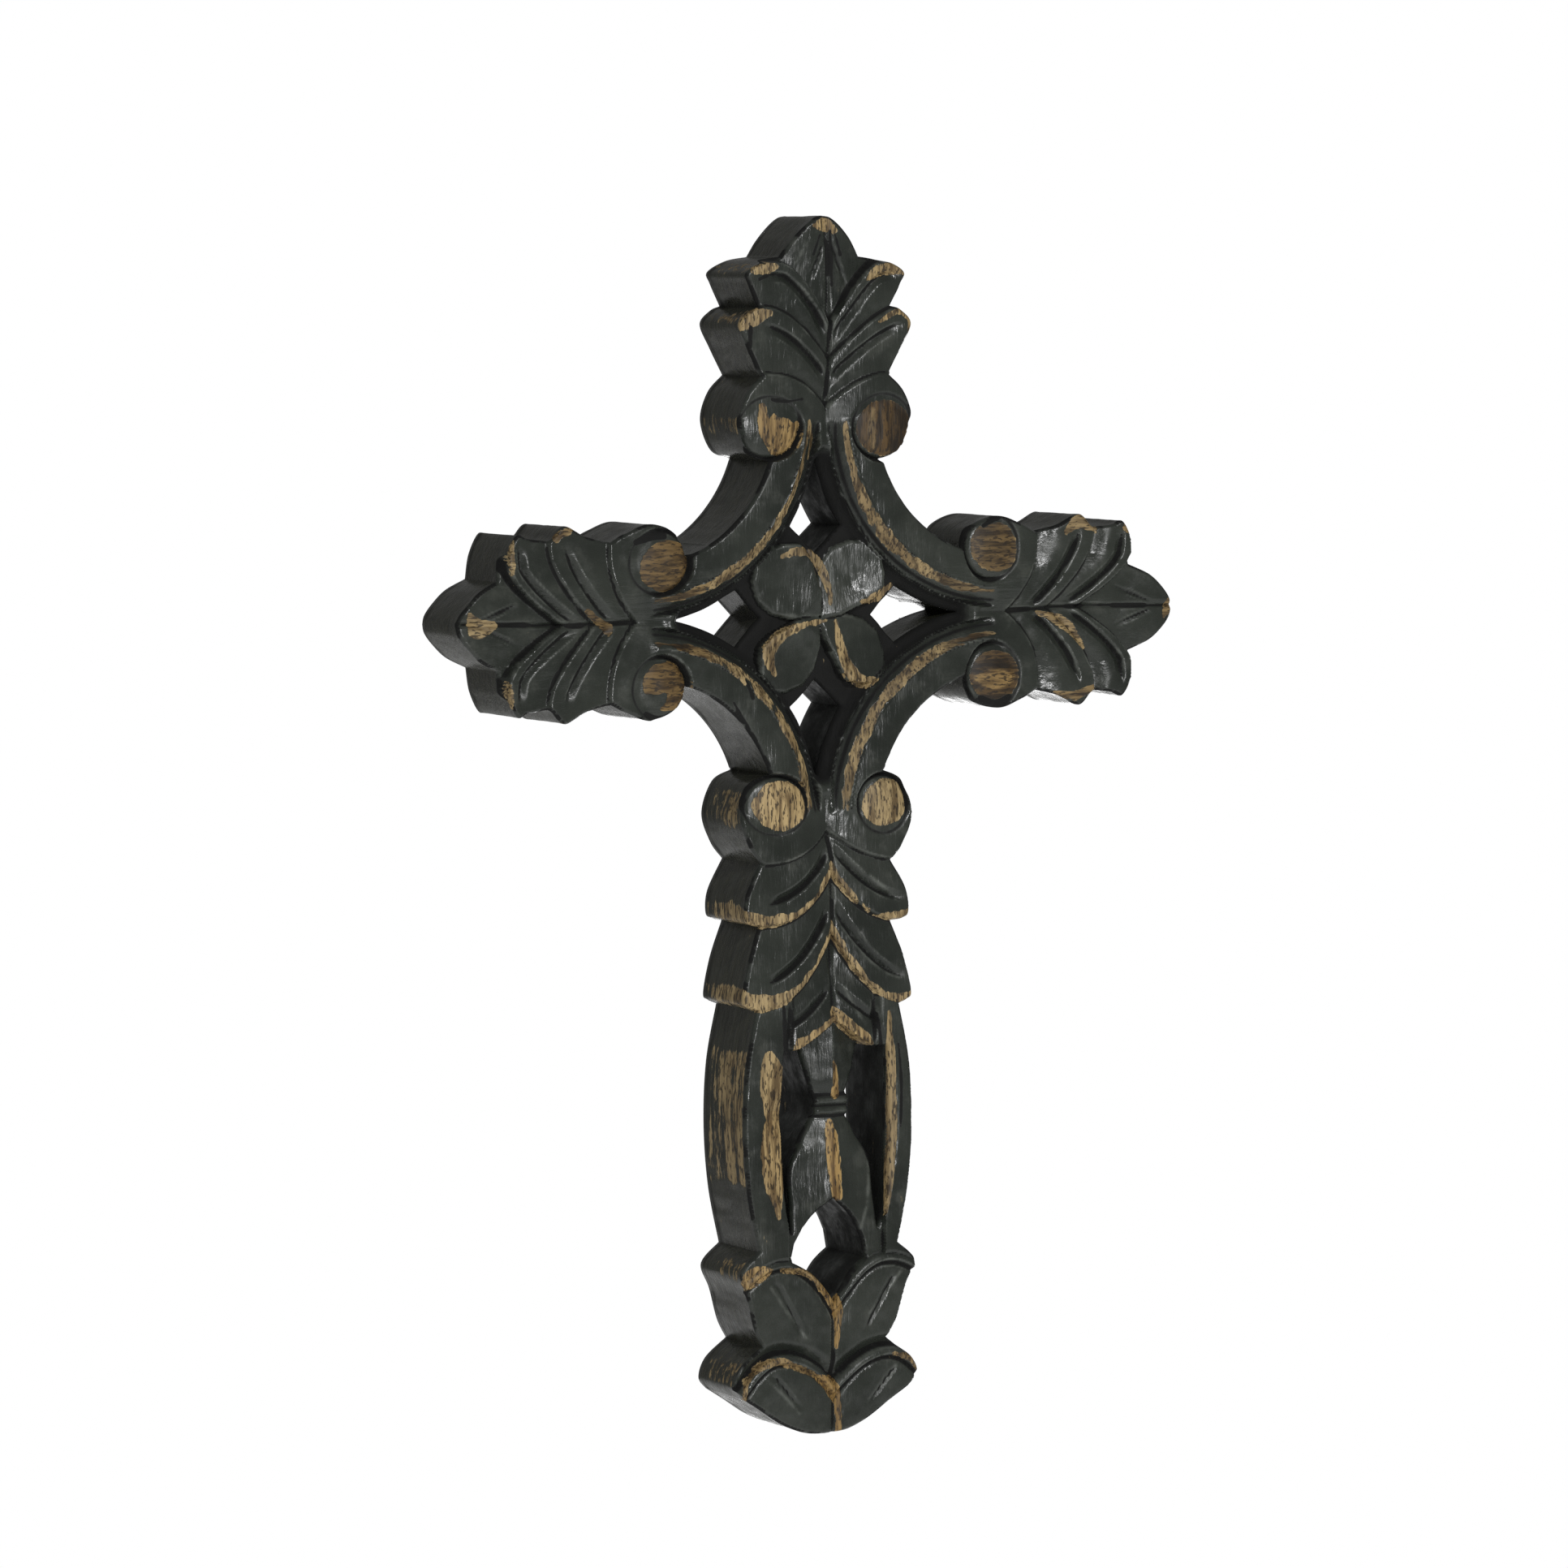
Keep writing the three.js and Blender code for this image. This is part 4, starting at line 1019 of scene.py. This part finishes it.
def outward(loop):
    """Unit normals of a closed loop, pointing to its right."""
    along = np.roll(loop, -1, 0) - np.roll(loop, 1, 0)
    normal = np.stack([along[:, 1], -along[:, 0]], 1)
    return normal / np.maximum(np.linalg.norm(normal, axis=1), 1e-9)[:, None]


# Rubbed bands on the upright's side walls: (from z, to z, nearest x, wear, gold, umber).
SIDE_BANDS = [
    (86, 89, 19, 0.44, 0.0, 0.5), (73.2, 76.4, 20, 0.50, 0.0, 0.5), (46, 51, 22.5, 0.52, 0.0, 0.4),
    (-52, -43, 22.5, 0.52, 0.05, 0.35), (-76.5, -71.5, 19, 0.80, 0.1, 0.2), (-97.5, -92, 20, 0.80, 0.1, 0.2),
    (-142, -108, 21.5, 0.62, 0.1, 0.25), (-166, -161, 20, 0.42, 0.1, 0.45), (-193, -187, 20, 0.45, 0.1, 0.45),
]


def side_masks(x, z, depth, front_masks, is_opening):
    """How a side wall has aged, with painted shade on the walls of the openings, at one depth behind the
    front edge.
    """
    masks = np.zeros((len(x), len(MASKS)))
    wear, gold, umber, soot_and_shade, olive, _ = masks.T
    for low, high, reach, amount, gold_tone, umber_tone in SIDE_BANDS:
        ragged = 0.8 * noise(x + depth, z, 3.0, 51)
        share = smooth(low - 1.4, low + 1.2, z + ragged) * (1 - smooth(high - 1.2, high + 1.4, z + ragged))
        share = share * smooth(reach - 1, reach, np.abs(x)) * (np.abs(x) < seam_x)
        share = share * (1 - 0.5 * smooth(8, 20, depth))
        wear[:] = np.maximum(wear, share * amount)
        gold[:] = mix(gold, gold_tone, share)
        umber[:] = mix(umber, umber_tone, share)
    olive[:] = 0.8
    # Darker towards the back edge of the wall.
    soot_and_shade[:] = 0.35 * smooth(17, 20, depth)
    if is_opening:
        masks[:, :3] = 0
        # Painted shade over the walls of the openings.
        soot_and_shade[:] = 0.36
        olive[:] = 0
    near_front = 1 - smooth(0.2, 1.0, depth)
    return mix(masks, front_masks, near_front)


def back_masks(count):
    """The flat back has one thin coat of paint."""
    masks = np.zeros((count, len(MASKS)))
    masks[:, MASKS.index("olive")] = 0.5
    return masks


def wall(shell, ring, loop, front_depth, front_masks, is_opening):
    """The side wall from a ring of front points to the back. Returns the back ring and its (x, z)."""
    x, z = loop.T
    normal = outward(loop)
    travel = np.cumsum(np.linalg.norm(np.diff(loop, axis=0, prepend=loop[-1:]), axis=1))
    loose = np.abs(np.abs(x) - seam_x) > 1e-4  # not on a seam, where walls stay flat
    roughness = 0.25 if is_opening else 0.2
    previous = ring
    for depth in wall_stations:
        below = front_depth + (thickness - wall_foot - front_depth) * depth / wall_length
        marks = 0.5 + 0.5 * noise(travel, below * 0.25, 2.6, 31) + 0.3 * noise(travel, below, 1.6, 32)
        inset = roughness * np.clip(marks, 0, 1.3) * smooth(0, 4, depth) * loose
        masks = side_masks(x, z, depth, front_masks, is_opening)
        px, pz = x - normal[:, 0] * inset, z - normal[:, 1] * inset
        following = shell.add(px, below - thickness, pz, masks)
        shell.band(previous, following)
        previous = following
    for above, inset in ((back_chamfer, 0.1), (0, back_chamfer)):
        back = loop - normal * (inset * loose)[:, None]
        following = shell.add(back[:, 0], -above, back[:, 1], back_masks(len(loop)))
        shell.band(previous, following)
        previous = following
    return previous, back


def turns_left(points, faces):
    (ax, az), (bx, bz), (cx, cz) = (points[faces[:, k]].T for k in range(3))
    return ((bx - ax) * (cz - az) - (bz - az) * (cx - ax) > 0)[:, None]


def board_mesh(name, points, faces, carving):
    """One board as a closed mesh, from its share of the carved sheet."""
    used, numbers = np.unique(faces, return_inverse=True)
    numbers = numbers.reshape(faces.shape)
    flat = points[used]
    depth, masks = carving.depth[used], carving.masks()[used]
    shell = Shell()
    shell.add(flat[:, 0], depth - thickness, flat[:, 1], masks)
    front = np.where(turns_left(flat, numbers), numbers, numbers[:, ::-1])
    shell.faces += front.tolist()
    back_rings, back_loops = [], []
    for ring in boundary_loops(front):
        ring = np.array(ring)
        loop = flat[ring]
        following = np.roll(loop, -1, 0)
        area = (loop[:, 0] * following[:, 1] - following[:, 0] * loop[:, 1]).sum() / 2
        back_ring, back_loop = wall(shell, ring, loop, depth[ring], masks[ring], area < 0)
        back_rings.append(back_ring)
        back_loops.append(back_loop)
    close_back(shell, back_rings, back_loops)
    return shell.mesh(name)


def close_back(shell, rings, loops):
    """Fills the flat back between the back rings."""
    def solid(centres):
        return sum(inside_polygon(centres, loop).astype(int) for loop in loops) == 1

    points, faces = triangulate(loops, keep=solid)
    numbers = np.concatenate(rings)
    faces = np.where(turns_left(points, faces), faces[:, ::-1], faces)
    shell.faces += numbers[faces].tolist()


# ---- Holes for the dowels and the hanger ------------------------------------------------------------------

def prism(loop, front, back):
    """Points and faces of a closed prism over an (x, z) loop."""
    count = len(loop)
    ends = [np.column_stack([loop[:, 0], np.full(count, y), loop[:, 1]]) for y in (front, back)]
    sides = [(i, (i + 1) % count, count + (i + 1) % count, count + i) for i in range(count)]
    caps = [tuple(range(count))[::-1], tuple(range(count, 2 * count))]
    return np.vstack(ends), sides + caps


def arc(radius, x, z, start, end, count):
    angles = np.linspace(start, end, count)
    return np.stack([x + radius * np.cos(angles), z + radius * np.sin(angles)], 1)


def circle(radius, x, z):
    return arc(radius, x, z, 0, 2 * math.pi, 25)[:-1]


def round_ended(box, grow):
    """The outline of the hanger plate with its round ends, grown on every side."""
    (low_x, _, low_z), (high_x, _, high_z) = box
    radius = (high_z - low_z) / 2 + grow
    reach = (high_x - low_x) / 2 - (high_z - low_z) / 2
    z = (low_z + high_z) / 2
    right = arc(radius, reach, z, -math.pi / 2, math.pi / 2, 20)
    return np.vstack([right, arc(radius, -reach, z, math.pi / 2, 3 * math.pi / 2, 20)])


def keyhole_well(z):
    """The hollow behind the plate's keyhole, for the head of the wall screw."""
    round_part = arc(key_radius, 0, z - key_rise / 2, math.radians(125), math.radians(415), 28)
    return np.vstack([round_part, arc(key_slot, 0, z + key_rise / 2, 0, math.pi, 12)])


def node_box(node):
    return [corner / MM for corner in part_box(node)]


def hanger_holes():
    plate = node_box("hanger_plate")
    floor = plate[0].y - clearance
    well = keyhole_well((plate[0].z + plate[1].z) / 2)
    holes = [prism(round_ended(plate, clearance), floor, 1)]
    holes.append(prism(well, floor - well_depth, floor + overlap))
    for node in ("hanger_screw_left", "hanger_screw_right"):
        low, high = node_box(node)
        x, z = (low.x + high.x) / 2, (low.z + high.z) / 2
        shank = circle(screw_radius + clearance, x, z)
        holes.append(prism(shank, low.y - 1, floor + overlap))
    return holes


def dowel_holes(side):
    """The two round holes across one seam."""
    holes = []
    for level in ("upper", "lower"):
        low, high = node_box(f"dowel_{side}_{level}")
        radius = (high.z - low.z) / 2 + clearance
        y, z = (low.y + high.y) / 2, (low.z + high.z) / 2
        points, faces = prism(circle(radius, 0, 0), low.x - clearance, high.x + clearance)
        holes.append((np.stack([points[:, 1], y + points[:, 0], z + points[:, 2]], 1), faces))
    return holes


def cut_holes(piece, holes):
    """Takes the holes out of a piece. Their walls are bare wood."""
    for points, faces in holes:
        masks = np.zeros((len(points), len(MASKS)))
        masks[:, 0] = 1
        data = masked_mesh("hole", points, faces, masks)
        cutter = bpy.data.objects.new("hole", data)
        bpy.context.scene.collection.objects.link(cutter)
        outward_faces(data)
        modifier = piece.modifiers.new("hole", "BOOLEAN")
        modifier.object = cutter
        modifier.solver = "MANIFOLD"
        with bpy.context.temp_override(object=piece, active_object=piece):
            bpy.ops.object.modifier_apply(modifier="hole")
        bpy.data.objects.remove(cutter)
        bpy.data.meshes.remove(data)


def outward_faces(data):
    mesh = bmesh.new()
    mesh.from_mesh(data)
    bmesh.ops.recalc_face_normals(mesh, faces=mesh.faces)
    mesh.to_mesh(data)
    mesh.free()


# ---- Materials ------------------------------------------------------------------------------------------

class Nodes:
    """Short ways to build a node tree."""

    def __init__(self, name):
        self.material = bpy.data.materials.new(name)
        self.material.use_nodes = True
        self.tree = self.material.node_tree
        self.shader = self.tree.nodes["Principled BSDF"]

    def node(self, kind, inputs=None, **settings):
        made = self.tree.nodes.new(kind)
        for key, value in settings.items():
            setattr(made, key, value)
        for key, value in (inputs or {}).items():
            self.link(value, made.inputs[key])
        return made

    def link(self, value, socket):
        if isinstance(value, bpy.types.NodeSocket):
            self.tree.links.new(value, socket)
        else:
            socket.default_value = value

    def mask(self, name):
        return self.node("ShaderNodeAttribute", attribute_name=name).outputs["Fac"]

    def maths(self, operation, *values, clamp=False):
        made = self.node("ShaderNodeMath", operation=operation, use_clamp=clamp)
        for value, socket in zip(values, made.inputs):
            self.link(value, socket)
        return made.outputs[0]

    def ramp(self, value, low, high, out_low=0.0, out_high=1.0):
        made = self.node("ShaderNodeMapRange", {"Value": value, "From Min": low, "From Max": high,
                                                "To Min": out_low, "To Max": out_high})
        made.interpolation_type = "SMOOTHSTEP"
        return made.outputs["Result"]

    def blend(self, share, a, b, kind="RGBA"):
        made = self.node("ShaderNodeMix", data_type=kind)
        sockets = [socket for socket in made.inputs if socket.enabled]
        for value, socket in zip((share, a, b), sockets):
            self.link(value, socket)
        return next(socket for socket in made.outputs if socket.enabled)

    def stretched(self, scale):
        place = self.node("ShaderNodeTexCoord").outputs["Object"]
        return self.node("ShaderNodeMapping", {"Vector": place, "Scale": scale}).outputs[0]

    def texture(self, vector, scale, detail=3.0, roughness=0.55):
        made = self.node("ShaderNodeTexNoise", {"Vector": vector, "Scale": scale, "Detail": detail,
                                                "Roughness": roughness})
        return made.outputs["Fac"]

    def raise_surface(self, height, distance, strength):
        raised = self.node("ShaderNodeBump", {"Height": height, "Distance": distance, "Strength": strength})
        self.link(raised.outputs[0], self.shader.inputs["Normal"])


def colour(red, green, blue):
    """An sRGB colour from 0 to 255 as linear light."""
    def linear(value):
        value = value / 255
        return value / 12.92 if value <= 0.04045 else ((value + 0.055) / 1.055) ** 2.4
    return (linear(red), linear(green), linear(blue), 1.0)


def bare_colour(n, streak, fine, gold, umber):
    """Streaked hardwood, warmer where gold and darker where umber, with black pores along the grain."""
    pale = n.blend(n.ramp(streak, 0.36, 0.62), colour(96, 80, 54), colour(172, 152, 112))
    golden = n.blend(n.ramp(streak, 0.36, 0.62), colour(88, 62, 24), colour(162, 128, 70))
    brown = n.blend(n.ramp(streak, 0.36, 0.64), colour(27, 20, 10), colour(80, 61, 33))
    wood = n.blend(umber, n.blend(gold, pale, golden), brown)
    pores = n.maths("MULTIPLY", n.ramp(fine, 0.53, 0.61), 0.85)
    return n.blend(pores, wood, colour(34, 26, 16))


def lengthwise(axis, stretch):
    """The scale of a texture that is drawn out along an axis."""
    return tuple(1 / stretch if letter == axis else 1 for letter in "XYZ")


def grain(n, axis):
    """Fine pores and broader streaks along an axis."""
    fine = n.texture(n.stretched(lengthwise(axis, 4)), 1700, 2, 0.5)
    streak = n.texture(n.stretched(lengthwise(axis, 11)), 620, 3, 0.65)
    return fine, streak


def painted_wood(name, axis):
    """Charcoal paint over wood whose grain runs along an axis, bare where it is rubbed, with painted shade in
    its cuts and openings and painted highlights on its ridges.
    """
    n = Nodes(name)
    fine, streak = grain(n, axis)
    mottle = n.texture(n.stretched((1, 1, 1)), 140, 5, 0.65)
    cloud = n.texture(n.stretched((1, 1, 1)), 34, 4, 0.6)
    wear, gold, umber, soot_and_shade, olive, painted_highlight = (n.mask(mask) for mask in MASKS)

    paint = n.blend(n.ramp(cloud, 0.35, 0.65), colour(34, 37, 33), colour(48, 51, 46))
    paint = n.blend(olive, paint, n.blend(n.ramp(streak, 0.3, 0.7), colour(33, 34, 26), colour(52, 52, 40)))
    scuffs = n.maths("MULTIPLY", n.ramp(mottle, 0.52, 0.72), 0.5)
    paint = n.blend(scuffs, paint, colour(66, 68, 62))
    # Painted highlights: paler paint along ridges and vein crests.
    highlight_share = n.maths("MULTIPLY", painted_highlight, n.ramp(mottle, 0.35, 0.6))
    paint = n.blend(n.maths("MULTIPLY", highlight_share, 0.75), paint, colour(94, 97, 91))
    # Black paint and painted shade.
    black = n.maths("ADD", soot_and_shade, n.maths("MULTIPLY", n.maths("SUBTRACT", mottle, 0.5), 0.6))
    black = n.maths("MULTIPLY", n.ramp(black, 0.14, 0.55), 0.96)
    paint = n.blend(black, paint, colour(7, 7, 6))

    ragged = n.maths("MULTIPLY", n.maths("SUBTRACT", mottle, 0.5), 0.9)
    ragged = n.maths("ADD", ragged, n.maths("MULTIPLY", n.maths("SUBTRACT", streak, 0.5), 1.5))
    bare = n.ramp(n.maths("ADD", wear, ragged), 0.40, 0.58)
    wood = bare_colour(n, streak, fine, gold, umber)
    n.link(n.blend(bare, paint, wood), n.shader.inputs["Base Color"])

    gloss = n.ramp(mottle, 0.35, 0.65, 0.20, 0.36)
    gloss = n.blend(black, gloss, 0.9, "FLOAT")
    n.link(n.blend(bare, gloss, 0.55, "FLOAT"), n.shader.inputs["Roughness"])
    n.shader.inputs["Specular IOR Level"].default_value = 0.35

    height = n.maths("ADD", n.maths("MULTIPLY", streak, 0.9), n.maths("MULTIPLY", mottle, 0.5))
    height = n.maths("ADD", height, n.maths("MULTIPLY", fine, 0.3))
    height = n.maths("SUBTRACT", height, n.maths("MULTIPLY", bare, 0.35))
    n.raise_surface(height, 0.00028, 0.75)
    return n.material


def dowel_wood():
    n = Nodes("dowel_wood")
    fine, streak = grain(n, "X")
    n.link(bare_colour(n, streak, fine, 0.3, 0.0), n.shader.inputs["Base Color"])
    n.shader.inputs["Roughness"].default_value = 0.6
    n.raise_surface(streak, 0.0002, 0.6)
    return n.material


def zinc_steel():
    """Zinc-plated sheet with faint rolling marks and dull spots."""
    n = Nodes("zinc_steel")
    rolled = n.texture(n.stretched((0.05, 1, 1)), 1500, 3, 0.6)
    spots = n.texture(n.stretched((1, 1, 1)), 260, 4, 0.6)
    shade = n.blend(n.ramp(spots, 0.4, 0.7), colour(186, 188, 190), colour(136, 136, 132))
    n.link(n.blend(n.ramp(rolled, 0.5, 0.7), shade, colour(160, 162, 164)), n.shader.inputs["Base Color"])
    n.link(n.ramp(spots, 0.35, 0.7, 0.26, 0.5), n.shader.inputs["Roughness"])
    n.shader.inputs["Metallic"].default_value = 1.0
    n.raise_surface(rolled, 0.00005, 0.5)
    return n.material


# ---- Build ------------------------------------------------------------------------------------------------

def boards():
    """The three carved boards, in place of their CAD nodes."""
    points, faces, rim_distance = carved_sheet()
    carving = relief(*points.T, rim_distance)
    age(carving)
    age_by_shape(carving, points, faces, rim_distance)
    upright_paint = painted_wood("painted_upright", "Z")
    arm_paint = painted_wood("painted_arm", "X")
    middle_x = points[faces].mean(1)[:, 0]
    left_holes, right_holes = dowel_holes("left"), dowel_holes("right")
    for node, share, paint, holes in (
        ("upright", np.abs(middle_x) < seam_x, upright_paint, left_holes + right_holes + hanger_holes()),
        ("arm_left", middle_x < -seam_x, arm_paint, left_holes),
        ("arm_right", middle_x > seam_x, arm_paint, right_holes),
    ):
        mesh = board_mesh("carved_" + node, points, faces[share], carving)
        piece = bpy.data.objects.new("carved_" + node, mesh)
        bpy.context.scene.collection.objects.link(piece)
        piece.data.materials.append(paint)
        cut_holes(piece, holes)
        piece.data.shade_smooth()
        piece.data.set_sharp_from_angle(angle=math.radians(48))
        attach(piece, "root")
        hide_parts(node)


def hardware():
    """Better materials for the CAD nodes that stay."""
    wood, steel = dowel_wood(), zinc_steel()
    for name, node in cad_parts.items():
        if name.startswith("dowel"):
            node.material_slots[0].material = wood
        elif name.startswith("hanger"):
            node.material_slots[0].material = steel


def camera():
    """The photograph's view, from the left and a little above."""
    data = bpy.data.cameras.new("camera")
    data.lens = 169.0
    data.shift_x = -0.0015
    data.sensor_width = 36
    data.clip_end = 50
    eye = bpy.data.objects.new("camera", data)
    stand = (-0.87765, -1.6346, 0.0976)  # metres
    yaw, pitch, roll = -28.24, -4.34, 0.154  # degrees
    turn = Matrix.Rotation(math.radians(yaw), 4, "Z") @ Matrix.Rotation(math.radians(pitch), 4, "X")
    turn = turn @ Matrix.Rotation(math.radians(roll), 4, "Y") @ Matrix.Rotation(math.pi / 2, 4, "X")
    eye.matrix_world = Matrix.Translation(stand) @ turn
    bpy.context.scene.collection.objects.link(eye)
    bpy.context.scene.camera = eye


def light(name, azimuth, elevation, distance, size, power):
    """A square lamp aimed at the crossing, in degrees, metres and watts.

    Azimuth is from the front towards the left.
    """
    data = bpy.data.lights.new(name, "AREA")
    data.size = size
    data.energy = power
    lamp = bpy.data.objects.new(name, data)
    a, e = math.radians(azimuth), math.radians(elevation)
    place = distance * Vector((-math.sin(a) * math.cos(e), -math.cos(a) * math.cos(e), math.sin(e)))
    lamp.location = place
    lamp.rotation_euler = place.to_track_quat("Z", "Y").to_euler()
    bpy.context.scene.collection.objects.link(lamp)


def backdrop():
    """A white background that lights the object only softly."""
    world = bpy.data.worlds.new("studio")
    world.use_nodes = True
    tree = world.node_tree
    soft = tree.nodes["Background"]
    soft.inputs["Strength"].default_value = 0.2
    white = tree.nodes.new("ShaderNodeBackground")
    for shade in (soft, white):
        shade.inputs["Color"].default_value = (1, 1, 1, 1)
    ray = tree.nodes.new("ShaderNodeLightPath")
    either = tree.nodes.new("ShaderNodeMixShader")
    tree.links.new(ray.outputs["Is Camera Ray"], either.inputs[0])
    tree.links.new(soft.outputs[0], either.inputs[1])
    tree.links.new(white.outputs[0], either.inputs[2])
    tree.links.new(either.outputs[0], tree.nodes["World Output"].inputs[0])
    bpy.context.scene.world = world


def studio():
    backdrop()
    bpy.context.scene.view_settings.view_transform = "Standard"
    light("high_key", 6, 24, 1.3, 0.13, 7)
    light("low_key", 6, -3, 1.3, 0.10, 5)
    light("soft_left", 70, 18, 1.6, 1.0, 1.1)
    light("soft_back", 215, -15, 2.0, 0.8, 7)
    pale_floor(3.6, -0.75)


def pale_floor(size, z):
    """A plain pale floor, in metres, that glows a little so that it stays pale from behind."""
    data = bpy.data.meshes.new("floor")
    half = size / 2
    corners = [(-half, -half, z), (half, -half, z), (half, half, z), (-half, half, z)]
    data.from_pydata(corners, [], [(0, 1, 2, 3)])
    floor = bpy.data.objects.new("floor", data)
    matt = Nodes("floor")
    matt.shader.inputs["Base Color"].default_value = (0.93, 0.93, 0.93, 1)
    matt.shader.inputs["Roughness"].default_value = 0.9
    matt.shader.inputs["Emission Color"].default_value = (1, 1, 1, 1)
    matt.shader.inputs["Emission Strength"].default_value = 0.4
    data.materials.append(matt.material)
    bpy.context.scene.collection.objects.link(floor)


camera()
boards()
hardware()
studio()
